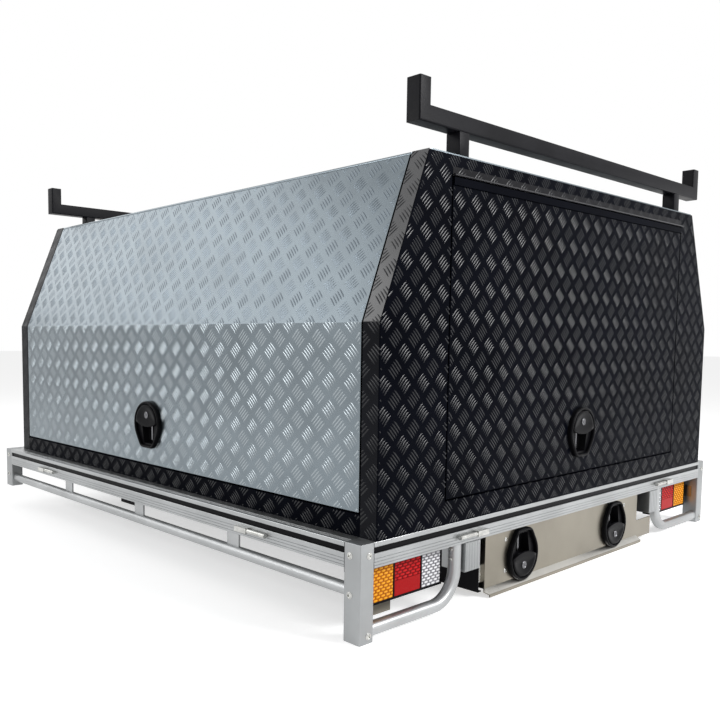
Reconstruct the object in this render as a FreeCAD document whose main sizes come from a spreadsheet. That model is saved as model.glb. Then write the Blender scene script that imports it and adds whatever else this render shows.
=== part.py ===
import FreeCAD, Part
import math
import os
import re
import Sketcher

# An aluminium pickup truck canopy on the alloy tray that carries it, in millimetres.
# X points to the right seen from behind, Y to the cab and Z up. The origin is the
# middle of the footprint, on the floor that the corner posts stand on.

SIZES = {
    "tray_length": 1930,
    "tray_width": 1885,
    "deck_height": 228,
    "deck_plank": 25,
    "deck_sheet": 4,
    "deck_rib": 4,
    "deck_ribs": 12,
    "coaming_height": 60,
    "coaming_flange": 75,
    "coaming_flange_thickness": 5,
    "coaming_box": 30,
    "coaming_slot_top": 18,
    "coaming_slot_height": 11,
    "coaming_slot_depth": 12,
    "coaming_wall": 3,
    "post_width": 45,
    "post_depth": 50,
    "post_wall": 4,
    "front_post_height": 147,
    "bearer_width": 50,
    "bearer_wall": 3,
    "bearer_count": 5,
    "runner_width": 65,
    "runner_height": 75,
    "runner_inset": 419,
    "runner_wall": 4,
    "chassis_bracket_thickness": 8,
    "chassis_bracket_length": 160,
    "chassis_bracket_lap": 60,
    "chassis_bracket_setback": 330,
    "chassis_hole_radius": 7,
    "chassis_hole_spacing": 90,
    "rope_rail_radius": 15,
    "rope_rail_wall": 2.5,
    "rope_rail_drop": 115,
    "rope_rail_inset": 22,
    "rope_bracket_width": 50,
    "rope_bracket_thickness": 6,
    "rope_bracket_rear": 477,
    "rope_bracket_front": 505,
    "rope_bracket_count": 3,
    "pin_radius": 6,
    "pin_length": 70,
    "pin_knuckle": 46,
    "pin_block": 14,
    "pin_drop": 40,
    "side_pin_rear": 407,
    "side_pin_front": 345,
    "rear_pin_left": 401.5,
    "rear_pin_right": 277.5,
    "guard_tube": 30,
    "guard_wall": 3,
    "guard_light_gap": 10,
    "guard_drop": 189,
    "guard_bend": 85,
    "guard_setback": 3,
    "light_length": 278,
    "light_height": 100,
    "light_depth": 30,
    "light_setback": 38,
    "light_post_gap": 19.5,
    "light_drop": 64,
    "light_rim": 5,
    "light_bar": 4,
    "lens_depth": 9,
    "light_amber": 88,
    "light_red": 98,
    "light_bracket_thickness": 3,
    "light_bracket_height": 40,
    "light_strap_lap": 118,
    "light_plate_width": 76,
    "light_plate_drop": 203,
    "canopy_front_margin": 50,
    "canopy_side_margin": 52.5,
    "canopy_height": 885,
    "kink_height": 488,
    "roof_inset": 160,
    "skin": 3,
    "frame_depth": 32,
    "rear_pillar": 54,
    "front_pillar": 55,
    "sill_height": 54,
    "door_gap": 5,
    "door_depth": 28,
    "hinge_radius": 5,
    "hinge_gap": 0.3,
    "hinge_leaf": 25,
    "rear_door_margin": 87,
    "rear_door_bottom": 60,
    "rear_door_top": 51,
    "rear_leaf_height": 18,
    "rear_leaf": 4,
    "rain_strip_height": 16,
    "rain_strip_reach": 6,
    "rack_tube": 40,
    "rack_wall": 3,
    "rack_overhang": 40,
    "rack_clear": 55,
    "rack_upright": 60,
    "rack_post_inset": 130,
    "latch_width": 140,
    "latch_height": 146,
    "latch_corner": 16,
    "latch_narrow_end": 88,
    "latch_proud": 14,
    "latch_rim": 8,
    "latch_body": 22,
    "latch_floor": 3,
    "latch_paddle": 7,
    "latch_paddle_gap": 3,
    "latch_paddle_edge": 2,
    "latch_hinge_inset": 14,
    "latch_pin_radius": 2,
    "latch_pin_gap": 0.3,
    "latch_recess_top": 6,
    "latch_recess_margin": 14,
    "latch_recess_wide": 74,
    "latch_recess_narrow": 52,
    "side_latch_height": 180,
    "rear_latch_height": 181,
    "drawer_side_room": 51,
    "drawer_latch_inset": 172,
    "drawer_latch_drop": 141,
    "drawer_face_setback": 18,
    "drawer_face_top": 66,
    "drawer_face_bottom": 215,
    "drawer_face_thickness": 3,
    "drawer_tongue_length": 105,
    "drawer_tongue_height": 60,
    "drawer_lip_reach": 17,
    "drawer_lip_fall": 3,
    "drawer_lip_drop": 7,
    "drawer_lip_thickness": 2,
    "drawer_length": 1300,
    "drawer_box_top": 88,
    "drawer_box_bottom": 207,
    "drawer_sheet": 2,
    "drawer_front_flange": 100,
    "slide_height": 46,
    "slide_wall": 2,
    "slide_depth": 14,
    "slide_gap": 0.5,
    "slide_drop": 165,
    "housing_sheet": 3,
    "housing_bottom_flange": 12,
}

doc = FreeCAD.newDocument("canopy_on_tray")
sheet = doc.addObject("Spreadsheet::Sheet", "sizes")
for row, (alias, value) in enumerate(SIZES.items(), start=1):
    sheet.set(f"A{row}", alias)
    sheet.set(f"B{row}", str(value))
    sheet.setAlias(f"B{row}", alias)
doc.recompute()

nodes = {}


def bound(text):
    """Write each size's name in an expression as a reference to its cell."""
    return re.sub(r"[a-z_]+", lambda m: "sizes." + m.group() if m.group() in SIZES else m.group(), text)


def value(text):
    """Work an expression out as a plain number."""
    return float(sheet.evalExpression(bound(text)))


def bind(item, name, text):
    """Tie one property of an object to an expression on the sizes."""
    item.setExpression(name, bound(text))


def place(item, x, y, z):
    """Tie an object's base point to three expressions."""
    bind(item, "Placement.Base.x", x)
    bind(item, "Placement.Base.y", y)
    bind(item, "Placement.Base.z", z)


def keep(label, item):
    """Name a finished sub-part."""
    item.Label = label
    nodes[label] = item
    return item


def span(side, low, high):
    """Give the X range of a piece on one side, from its distances to the middle."""
    return (low, high) if side > 0 else (f"-({high})", f"-({low})")


def block(name, x_range, y_range, z_range):
    """A box between three pairs of expressions."""
    box = doc.addObject("Part::Box", name)
    for size_name, (low, high) in zip(("Length", "Width", "Height"), (x_range, y_range, z_range)):
        bind(box, size_name, f"({high}) - ({low})")
    place(box, x_range[0], y_range[0], z_range[0])
    return box


def rod(name, radius, length, start, direction):
    """A round bar from a start point of expressions along a direction."""
    bar = doc.addObject("Part::Cylinder", name)
    bind(bar, "Radius", radius)
    bind(bar, "Height", length)
    bar.Placement.Rotation = FreeCAD.Rotation(FreeCAD.Vector(0, 0, 1), FreeCAD.Vector(*direction))
    place(bar, *start)
    return bar


def joined(name, items):
    """Join touching solids into one."""
    fusion = doc.addObject("Part::MultiFuse", name)
    fusion.Shapes = items
    return fusion


def gathered(name, items):
    """Hold separate solids together in one sub-part."""
    group = doc.addObject("Part::Compound", name)
    group.Links = items
    return group


def less(name, base, tool):
    """Cut one solid out of another."""
    cut = doc.addObject("Part::Cut", name)
    cut.Base = base
    cut.Tool = tool
    return cut


def origin_plane(body, role):
    """Find one of a body's own origin planes."""
    return next(item for item in body.Origin.OriginFeatures if item.Role == role)


def sketch_on(body, role, name, offset):
    """Attach an empty sketch to an origin plane, shifted along its normal."""
    sketch = body.newObject("Sketcher::SketchObject", name)
    sketch.AttachmentSupport = [(origin_plane(body, role), "")]
    sketch.MapMode = "FlatFace"
    bind(sketch, "AttachmentOffset.Base.z", offset)
    return sketch


def draw_outline(sketch, points):
    """Draw a closed outline of straight edges, each corner tied to two expressions."""
    first = sketch.GeometryCount
    flat = [FreeCAD.Vector(value(x), value(y), 0) for x, y in points]
    for index, point in enumerate(flat):
        sketch.addGeometry(Part.LineSegment(point, flat[(index + 1) % len(flat)]), False)
    for index, (x, y) in enumerate(points):
        line = first + index
        following = first + (index + 1) % len(points)
        sketch.addConstraint(Sketcher.Constraint("Coincident", line, 2, following, 1))
        for kind, text in (("DistanceX", x), ("DistanceY", y)):
            number = sketch.addConstraint(Sketcher.Constraint(kind, -1, 1, line, 1, value(text)))
            sketch.setExpression(f"Constraints[{number}]", bound(text))


# For each plane: its role, and where the sketch of a pad or a pocket lies for a start and a length.
PLANES = {
    "XY": ("XY_Plane", "{start}", "({start}) + ({length})"),
    "YZ": ("YZ_Plane", "{start}", "({start}) + ({length})"),
    "XZ": ("XZ_Plane", "-(({start}) + ({length}))", "-({start})"),
}


def add_pad(body, plane, outlines, start, length):
    """Pad closed outlines along a plane's axis, from a start over a length."""
    role, pad_offset, _ = PLANES[plane]
    sketch = sketch_on(body, role, body.Name + "_outline", pad_offset.format(start=start, length=length))
    for outline in outlines:
        draw_outline(sketch, outline)
    pad = body.newObject("PartDesign::Pad", body.Name + "_pad")
    pad.Profile = sketch
    bind(pad, "Length", length)
    doc.recompute()
    return pad


def add_pocket(body, plane, outlines, start, length):
    """Cut closed outlines out along a plane's axis, and check that something went."""
    role, _, pocket_offset = PLANES[plane]
    before = body.Shape.Volume
    sketch = sketch_on(body, role, body.Name + "_cut", pocket_offset.format(start=start, length=length))
    for outline in outlines:
        draw_outline(sketch, outline)
    pocket = body.newObject("PartDesign::Pocket", body.Name + "_pocket")
    pocket.Profile = sketch
    bind(pocket, "Length", length)
    doc.recompute()
    if body.Shape.Volume > before - 1:
        raise RuntimeError("the pocket in " + body.Name + " cuts nothing")
    return pocket


def profile_body(name, plane, outlines, start, length):
    """A body with one pad of straight-edged outlines."""
    body = doc.addObject("PartDesign::Body", name)
    add_pad(body, plane, outlines, start, length)
    return body


def rectangle(x_low, x_high, y_low, y_high):
    """The four corners of a rectangle."""
    return [(x_low, y_low), (x_high, y_low), (x_high, y_high), (x_low, y_high)]


# Places shared by many pieces, as expressions on the sizes.
REAR = "(-(tray_length - latch_proud) / 2)"
FRONT = f"({REAR} + tray_length)"
DECK = "deck_height"
TRAY_SIDE = "(tray_width / 2)"
POST_INNER = f"({TRAY_SIDE} - post_width)"
BEARER_TOP = f"({DECK} - deck_plank)"
COAMING_FOOT = f"({DECK} - coaming_height)"
RUNNER_MIDDLE = f"({TRAY_SIDE} - runner_inset)"
RUNNER_INNER = f"({RUNNER_MIDDLE} - runner_width / 2)"
RUNNER_OUTER = f"({RUNNER_MIDDLE} + runner_width / 2)"
RUNNER_FOOT = f"({COAMING_FOOT} - runner_height)"
LIGHT_OUTER = f"({POST_INNER} - light_post_gap)"
LIGHT_INNER = f"({LIGHT_OUTER} - light_length)"
DRAWER_SIDE = f"({RUNNER_INNER} - drawer_side_room)"
CANOPY_SIDE = f"({TRAY_SIDE} - canopy_side_margin)"
CANOPY_FRONT = f"({FRONT} - canopy_front_margin)"
ROOF_SIDE = f"({CANOPY_SIDE} - roof_inset)"
REAR_DOOR_SIDE = f"({ROOF_SIDE} - rear_door_margin)"
DOOR_START = f"({REAR} + rear_pillar + door_gap / 2)"
DOOR_LENGTH = f"({CANOPY_FRONT} - {REAR} - rear_pillar - front_pillar - door_gap)"
KINK = f"({DECK} + kink_height)"
ROOF = f"({DECK} + canopy_height)"
REAR_DOOR_TOP = f"({ROOF} - rear_door_top)"
SLOPE_RUN = "roof_inset"
SLOPE_RISE = "(canopy_height - kink_height)"
SLOPE_LENGTH = f"sqrt({SLOPE_RUN} ^ 2 + {SLOPE_RISE} ^ 2)"


def build_deck():
    """The ribbed plank floor of the tray and the box bearers under it."""
    half = f"({TRAY_SIDE} - coaming_flange)"
    under = f"({DECK} - deck_sheet)"
    outline = [(f"-{half}", under), (f"-{half}", DECK), (half, DECK), (half, under)]
    count = int(value("deck_ribs"))
    for index in reversed(range(count)):
        middle = f"(-{half} + ({index} + 0.5) * 2 * {half} / deck_ribs)"
        right, left = f"{middle} + deck_rib / 2", f"{middle} - deck_rib / 2"
        outline += [(right, under), (right, BEARER_TOP), (left, BEARER_TOP), (left, under)]
    deck = profile_body("deck", "XZ", [outline], f"{REAR} + coaming_flange", "tray_length - 2 * coaming_flange")
    keep("tray_deck", deck)
    bearers = []
    reach = f"({TRAY_SIDE} - coaming_box)"
    for index in range(int(value("bearer_count"))):
        start = (f"({REAR} + coaming_flange + {index} * (tray_length - 2 * coaming_flange - bearer_width)"
                 f" / (bearer_count - 1))")
        shell = rectangle(start, f"{start} + bearer_width", COAMING_FOOT, BEARER_TOP)
        hollow = rectangle(f"{start} + bearer_wall", f"{start} + bearer_width - bearer_wall",
                           f"{COAMING_FOOT} + bearer_wall", f"{BEARER_TOP} - bearer_wall")
        bearers.append(profile_body(f"bearer_{index + 1}", "YZ", [shell, hollow], f"-{reach}", f"2 * {reach}"))
    keep("cross_bearers", gathered("bearers", bearers))


def coaming_outline(outer, inward):
    """The section of the edge rail: a flange over a box with a slot along its outer face."""
    def across(distance):
        return f"({outer}) + ({inward}) * ({distance})"

    slot_foot = f"{DECK} - coaming_slot_top - coaming_slot_height"
    return [
        (across("0"), DECK),
        (across("coaming_flange"), DECK),
        (across("coaming_flange"), f"{DECK} - coaming_flange_thickness"),
        (across("coaming_box"), f"{DECK} - coaming_flange_thickness"),
        (across("coaming_box"), COAMING_FOOT),
        (across("0"), COAMING_FOOT),
        (across("0"), slot_foot),
        (across("coaming_slot_depth"), slot_foot),
        (across("coaming_slot_depth"), f"{DECK} - coaming_slot_top"),
        (across("0"), f"{DECK} - coaming_slot_top"),
    ]


def coaming_hollow(outer, inward):
    """The closed hollow inside the edge rail's box, below its slot."""
    low, high = (f"({outer}) + ({inward}) * (coaming_wall)", f"({outer}) + ({inward}) * (coaming_box - coaming_wall)")
    top = f"{DECK} - coaming_slot_top - coaming_slot_height - coaming_wall"
    return [(low, f"{COAMING_FOOT} + coaming_wall"), (high, f"{COAMING_FOOT} + coaming_wall"), (high, top), (low, top)]


def build_coamings():
    """The four edge rails between the corner posts; the end rails are notched round the side rails."""
    side_start = f"{REAR} + post_depth"
    side_length = "tray_length - 2 * post_depth"
    for side, word in ((-1, "left"), (1, "right")):
        outlines = [section(f"{side} * {TRAY_SIDE}", -side) for section in (coaming_outline, coaming_hollow)]
        body = profile_body(f"side_rail_{word}", "XZ", outlines, side_start, side_length)
        keep(f"coaming_{word}", body)
    for outer, inward, word in ((REAR, 1, "rear"), (FRONT, -1, "front")):
        outlines = [section(outer, inward) for section in (coaming_outline, coaming_hollow)]
        body = profile_body(f"end_rail_{word}", "YZ", outlines, f"-{POST_INNER}", f"2 * {POST_INNER}")
        notches = []
        for side in (-1, 1):
            x_low, x_high = span(side, f"{TRAY_SIDE} - coaming_flange", f"{POST_INNER} + coaming_wall")
            notches.append(rectangle(x_low, x_high, f"{outer} + {inward} * post_depth",
                                     f"{outer} + {inward} * (coaming_flange + coaming_wall)"))
        add_pocket(body, "XY", notches, f"{DECK} - coaming_flange_thickness - coaming_wall",
                   "coaming_flange_thickness + coaming_wall")
        keep(f"coaming_{word}", body)


def build_posts():
    """The four corner posts, square tubes closed at the top; the rear pair reaches the floor."""
    for side, side_word in ((-1, "left"), (1, "right")):
        x_range = span(side, POST_INNER, TRAY_SIDE)
        inner_x = span(side, f"{POST_INNER} + post_wall", f"{TRAY_SIDE} - post_wall")
        for end_word, y_low, foot in (("rear", REAR, "0"),
                                      ("front", f"({FRONT} - post_depth)", f"({DECK} - front_post_height)")):
            outer = block(f"{end_word}_post_{side_word}", x_range, (y_low, f"{y_low} + post_depth"), (foot, DECK))
            inner = block(f"{end_word}_post_bore_{side_word}", inner_x,
                          (f"{y_low} + post_wall", f"{y_low} + post_depth - post_wall"),
                          (f"{foot} - post_wall", f"{DECK} - post_wall"))
            keep(f"corner_post_{end_word}_{side_word}", less(f"{end_word}_post_tube_{side_word}", outer, inner))


def build_runners():
    """The two long box runners and the brackets that bolt them to a chassis."""
    brackets = []
    for side, word in ((-1, "left"), (1, "right")):
        outer = span(side, RUNNER_INNER, RUNNER_OUTER)
        shell = rectangle(outer[0], outer[1], RUNNER_FOOT, COAMING_FOOT)
        hollow = rectangle(f"{outer[0]} + runner_wall", f"{outer[1]} - runner_wall",
                           f"{RUNNER_FOOT} + runner_wall", f"{COAMING_FOOT} - runner_wall")
        body = profile_body(f"runner_tube_{word}", "XZ", [shell, hollow], REAR, "tray_length")
        keep(f"runner_{word}", body)
        for place_word, middle in (("rear", f"{REAR} + chassis_bracket_setback"),
                                   ("front", f"{FRONT} - chassis_bracket_setback")):
            plate = block(f"bracket_{place_word}_{word}", span(side, RUNNER_OUTER, f"{RUNNER_OUTER} + chassis_bracket_thickness"),
                          (f"{middle} - chassis_bracket_length / 2", f"{middle} + chassis_bracket_length / 2"),
                          ("0", f"{RUNNER_FOOT} + chassis_bracket_lap"))
            holes = []
            for hand in (-1, 1):
                holes.append(rod(f"hole_{place_word}_{word}_{hand}", "chassis_hole_radius",
                                 "3 * chassis_bracket_thickness",
                                 (f"{side} * ({RUNNER_OUTER} - chassis_bracket_thickness)",
                                  f"{middle} + {hand} * chassis_hole_spacing / 2", f"{RUNNER_FOOT} / 2"),
                                 (side, 0, 0)))
            brackets.append(less(f"drilled_{place_word}_{word}", plate, gathered(f"holes_{place_word}_{word}", holes)))
    keep("chassis_brackets", gathered("all_brackets", brackets))


def build_rope_rails():
    """The rope rail on each side, hung from the coaming by flat brackets."""
    for side, word in ((-1, "left"), (1, "right")):
        middle = f"{side} * ({TRAY_SIDE} - rope_rail_inset)"
        height = f"{DECK} - rope_rail_drop"
        start = f"{REAR} + post_depth"
        length = "tray_length - 2 * post_depth"
        pieces = [rod(f"rail_{word}", "rope_rail_radius", length, (middle, start, height), (0, 1, 0))]
        for index in range(int(value("rope_bracket_count"))):
            centre = (f"({REAR} + rope_bracket_rear + {index} * (tray_length - rope_bracket_rear - rope_bracket_front)"
                      f" / (rope_bracket_count - 1))")
            pieces.append(block(f"rail_bracket_{word}_{index + 1}",
                                (f"{middle} - rope_bracket_thickness / 2", f"{middle} + rope_bracket_thickness / 2"),
                                (f"{centre} - rope_bracket_width / 2", f"{centre} + rope_bracket_width / 2"),
                                (height, COAMING_FOOT)))
        bore = rod(f"rail_bore_{word}", "rope_rail_radius - rope_rail_wall", length, (middle, start, height), (0, 1, 0))
        keep(f"rope_rail_{word}", less(f"rail_tube_{word}", joined(f"rail_solid_{word}", pieces), bore))


def build_pins():
    """The lift-off hinge pins that the dropsides hang on: a block and a rod each."""
    height = f"{DECK} - pin_drop"
    pins = []
    for side, word in ((-1, "left"), (1, "right")):
        for place_word, middle in (("rear", f"({REAR} + side_pin_rear)"), ("front", f"({FRONT} - side_pin_front)")):
            knuckle = block(f"knuckle_{place_word}_{word}", span(side, TRAY_SIDE, f"{TRAY_SIDE} + pin_block"),
                            (f"{middle} - pin_knuckle / 2", f"{middle} + pin_knuckle / 2"),
                            (f"{height} - pin_block / 2", f"{height} + pin_block / 2"))
            bar = rod(f"pin_{place_word}_{word}", "pin_radius", "pin_length + pin_knuckle / 2",
                      (f"{side} * ({TRAY_SIDE} + pin_block / 2)", middle, height), (0, -1, 0))
            pins.append(joined(f"hinge_{place_word}_{word}", [knuckle, bar]))
    for side, distance in ((-1, "rear_pin_left"), (1, "rear_pin_right")):
        middle = f"({side} * ({POST_INNER} - {distance}))"
        knuckle = block(f"knuckle_end_{distance}", (f"{middle} - pin_knuckle / 2", f"{middle} + pin_knuckle / 2"),
                        (f"{REAR} - pin_block", REAR), (f"{height} - pin_block / 2", f"{height} + pin_block / 2"))
        bar = rod(f"pin_end_{distance}", "pin_radius", "pin_length + pin_knuckle / 2",
                  (middle, f"{REAR} - pin_block / 2", height), (-1, 0, 0))
        pins.append(joined(f"hinge_end_{distance}", [knuckle, bar]))
    keep("dropside_hinge_pins", gathered("all_pins", pins))


def build_light_guards():
    """The bent tube that guards each tail light, from the post round to the coaming."""
    for side, word in ((-1, "left"), (1, "right")):
        body = doc.addObject("PartDesign::Body", f"guard_tube_{word}")
        path = sketch_on(body, "XZ_Plane", f"guard_path_{word}", f"-({REAR} + guard_setback + guard_tube / 2)")
        low = f"{DECK} - guard_drop - guard_tube / 2"
        reach = f"{side} * ({LIGHT_INNER} - guard_light_gap - guard_tube / 2)"
        corner = f"{reach} + {side} * guard_bend"
        start = FreeCAD.Vector(side * value(POST_INNER), value(low), 0)
        turn_in = FreeCAD.Vector(value(corner), value(low), 0)
        turn_out = FreeCAD.Vector(value(reach), value(f"{low} + guard_bend"), 0)
        top = FreeCAD.Vector(value(reach), value(COAMING_FOOT), 0)
        centre = FreeCAD.Vector(turn_in.x, turn_out.y, 0)
        path.addGeometry(Part.LineSegment(start, turn_in), False)
        bend = 0.5 ** 0.5 * value("guard_bend")
        knee = centre + FreeCAD.Vector(-side * bend, -bend, 0)
        path.addGeometry(Part.Arc(turn_in, knee, turn_out), False)
        path.addGeometry(Part.LineSegment(turn_out, top), False)
        arc_start, arc_end = (2, 1) if side > 0 else (1, 2)
        path.addConstraint(Sketcher.Constraint("Tangent", 0, 2, 1, arc_start))
        path.addConstraint(Sketcher.Constraint("Tangent", 1, arc_end, 2, 1))
        for kind, element, point, text in (
                ("DistanceX", 0, 1, f"{side} * {POST_INNER}"), ("DistanceY", 0, 1, low),
                ("DistanceX", 2, 2, reach), ("DistanceY", 2, 2, COAMING_FOOT)):
            number = path.addConstraint(Sketcher.Constraint(kind, -1, 1, element, point, value(text)))
            path.setExpression(f"Constraints[{number}]", bound(text))
        path.addConstraint(Sketcher.Constraint("Horizontal", 0))
        path.addConstraint(Sketcher.Constraint("Vertical", 2))
        number = path.addConstraint(Sketcher.Constraint("Radius", 1, value("guard_bend")))
        path.setExpression(f"Constraints[{number}]", bound("guard_bend"))
        section = sketch_on(body, "YZ_Plane", f"guard_section_{word}", f"{side} * {POST_INNER}")
        middle = f"{REAR} + guard_setback + guard_tube / 2"
        for half in ("guard_tube / 2", "(guard_tube / 2 - guard_wall)"):
            draw_outline(section, rectangle(f"{middle} - {half}", f"{middle} + {half}",
                                            f"{low} - {half}", f"{low} + {half}"))
        pipe = body.newObject("PartDesign::AdditivePipe", f"guard_pipe_{word}")
        pipe.Profile = section
        pipe.Spine = (path, ["Edge1", "Edge2", "Edge3"])
        keep(f"light_guard_{word}", body)


def build_tail_lights():
    """Three-colour tail lights: a housing with a rim, three lenses and a bracket."""
    housings = []
    lenses = {"amber": [], "red": [], "clear": []}
    brackets = []
    face = f"{REAR} + light_setback"
    top = f"{DECK} - light_drop"
    foot = f"{top} - light_height"
    for side, word in ((-1, "left"), (1, "right")):
        case = block(f"light_case_{word}", span(side, LIGHT_INNER, LIGHT_OUTER), (face, f"{face} + light_depth"),
                     (foot, top))
        inner_high = f"({LIGHT_OUTER} - light_rim)"
        amber_low = f"({inner_high} - light_amber)"
        red_high = f"({amber_low} - light_bar)"
        red_low = f"({red_high} - light_red)"
        clear_high = f"({red_low} - light_bar)"
        clear_low = f"({LIGHT_INNER} + light_rim)"
        pockets = []
        for colour, low, high in (("amber", amber_low, inner_high), ("red", red_low, red_high),
                                  ("clear", clear_low, clear_high)):
            z_range = (f"{foot} + light_rim", f"{top} - light_rim")
            y_range = (face, f"{face} + lens_depth")
            pockets.append(block(f"pocket_{colour}_{word}", span(side, low, high), y_range, z_range))
            lenses[colour].append(block(f"lens_{colour}_{word}", span(side, low, high), y_range, z_range))
        housings.append(less(f"light_body_{word}", case, gathered(f"light_pockets_{word}", pockets)))
        back = f"{face} + light_depth"
        strap_inner = f"({LIGHT_OUTER} - light_strap_lap)"
        middle = f"({top} - light_height / 2)"
        strap = block(f"light_strap_{word}", span(side, strap_inner, POST_INNER),
                      (back, f"{back} + light_bracket_thickness"),
                      (f"{middle} - light_bracket_height / 2", f"{middle} + light_bracket_height / 2"))
        tab = block(f"light_tab_{word}", span(side, f"{POST_INNER} - light_bracket_thickness", POST_INNER),
                    (f"{REAR} + light_setback / 2", f"{back} + light_bracket_thickness"),
                    (f"{middle} - light_bracket_height / 2", f"{middle} + light_bracket_height / 2"))
        pieces = [strap, tab]
        if side < 0:
            pieces.append(block("light_plate", span(side, strap_inner, f"{strap_inner} + light_plate_width"),
                                (back, f"{back} + light_bracket_thickness"),
                                (f"{DECK} - light_plate_drop", f"{middle} + light_bracket_height / 2")))
        brackets.append(joined(f"light_mount_{word}", pieces))
    keep("tail_light_housings", gathered("light_housings", housings))
    for colour, items in lenses.items():
        keep(f"tail_light_lenses_{colour}", gathered(f"lenses_{colour}", items))
    keep("tail_light_brackets", gathered("light_brackets", brackets))


def side_lines(side):
    """Give two functions for points on a side: on its slope, and at its kink, at a depth."""
    def on_slope(depth, along):
        x = (f"{side} * ({ROOF_SIDE} + ({along}) * {SLOPE_RUN} / {SLOPE_LENGTH}"
             f" - ({depth}) * {SLOPE_RISE} / {SLOPE_LENGTH})")
        z = (f"{ROOF} - ({along}) * {SLOPE_RISE} / {SLOPE_LENGTH}"
             f" - ({depth}) * {SLOPE_RUN} / {SLOPE_LENGTH}")
        return x, z

    def at_kink(depth):
        drop = f"({depth}) * ({SLOPE_LENGTH} - {SLOPE_RISE}) / {SLOPE_RUN}"
        return f"{side} * ({CANOPY_SIDE} - ({depth}))", f"{KINK} - {drop}"

    return on_slope, at_kink


def band_outline(side, near, far, top_inset, foot):
    """The outline of a kinked band between two depths, from below the roof's edge to a foot."""
    on_slope, at_kink = side_lines(side)
    return [
        on_slope(near, top_inset), at_kink(near), (f"{side} * ({CANOPY_SIDE} - ({near}))", foot),
        (f"{side} * ({CANOPY_SIDE} - ({far}))", foot), at_kink(far), on_slope(far, top_inset),
    ]


# How far down the slope a side door starts: just clear of the hinge knuckle in the roof's corner.
CORNER_RUN = f"(hinge_radius * ({SLOPE_LENGTH} - {SLOPE_RUN}) / {SLOPE_RISE})"
TOP_INSET = f"({CORNER_RUN} + hinge_radius + hinge_gap)"


def build_side_door(side, word):
    """A kinked side door: folded skin with returned edges all round."""
    foot = f"{DECK} + sill_height + door_gap / 2"
    body = doc.addObject("PartDesign::Body", f"side_door_body_{word}")
    add_pad(body, "XZ", [band_outline(side, "0", "door_depth", TOP_INSET, foot)], DOOR_START, DOOR_LENGTH)
    hollow = band_outline(side, "skin", "door_depth + skin", f"{TOP_INSET} + skin", f"{foot} + skin")
    add_pocket(body, "XZ", [hollow], f"{DOOR_START} + skin", f"{DOOR_LENGTH} - 2 * skin")
    hole = latch_prism(f"door_hole_{word}", "latch_rim + 1", "-latch_body * 2", "latch_body * 4",
                       side_latch_frame(side))
    keep(f"side_door_{word}", less(f"side_door_cut_{word}", body, hole))


def build_pillars():
    """The kinked strips at the four corners of the canopy, folded in beside the doors."""
    for side, side_word in ((-1, "left"), (1, "right")):
        for end_word, start, width, cut_start in (
                ("rear", f"{REAR} + skin", "rear_pillar - skin - door_gap / 2", f"{REAR} + skin"),
                ("front", f"{CANOPY_FRONT} - front_pillar + door_gap / 2", "front_pillar - skin - door_gap / 2",
                 f"{CANOPY_FRONT} - front_pillar + door_gap / 2 + skin")):
            body = doc.addObject("PartDesign::Body", f"pillar_{end_word}_{side_word}_body")
            add_pad(body, "XZ", [band_outline(side, "0", "frame_depth", "0", DECK)], start, width)
            hollow = band_outline(side, "skin", "frame_depth + skin", "-skin * 4", f"{DECK} - skin")
            add_pocket(body, "XZ", [hollow], cut_start, f"{width} - skin")
            keep(f"pillar_{end_word}_{side_word}", body)


def build_sills():
    """The sill under each side door, a folded channel."""
    for side, word in ((-1, "left"), (1, "right")):
        x_outer = f"{side} * {CANOPY_SIDE}"
        x_skin = f"{side} * ({CANOPY_SIDE} - skin)"
        x_inner = f"{side} * ({CANOPY_SIDE} - frame_depth)"
        top = f"{DECK} + sill_height - door_gap / 2"
        outline = [(x_outer, DECK), (x_outer, top), (x_inner, top), (x_inner, f"{top} - skin"),
                   (x_skin, f"{top} - skin"), (x_skin, f"{DECK} + skin"), (x_inner, f"{DECK} + skin"),
                   (x_inner, DECK)]
        start = f"{REAR} + rear_pillar - door_gap / 2"
        length = f"{DOOR_LENGTH} + 2 * door_gap"
        keep(f"side_sill_{word}", profile_body(f"sill_{word}", "XZ", [outline], start, length))


def end_outline():
    """The six-cornered outline of the canopy's ends, up to the roof sheet."""
    top = f"{ROOF} - skin"
    top_side = f"({ROOF_SIDE} + skin * {SLOPE_RUN} / {SLOPE_RISE})"
    return [(f"-{CANOPY_SIDE}", DECK), (CANOPY_SIDE, DECK), (CANOPY_SIDE, KINK), (top_side, top),
            (f"-{top_side}", top), (f"-{CANOPY_SIDE}", KINK)]


def build_walls():
    """The closed front wall, and the rear wall with its door opening and jambs."""
    front = profile_body("front_wall_body", "XZ", [end_outline()], f"{CANOPY_FRONT} - skin", "skin")
    keep("front_wall", front)
    half = f"({REAR_DOOR_SIDE} + door_gap / 2)"
    low = f"({DECK} + rear_door_bottom - door_gap / 2)"
    high = f"({REAR_DOOR_TOP} + door_gap / 2)"
    opening = rectangle(f"-{half}", half, low, high)
    jamb = rectangle(f"-({half} + skin)", f"{half} + skin", f"{low} - skin", f"{high} + skin")
    body = profile_body("rear_wall_body", "XZ", [end_outline(), opening], REAR, "skin")
    add_pad(body, "XZ", [jamb, opening], REAR, "frame_depth")
    keep("rear_wall", body)


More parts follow.
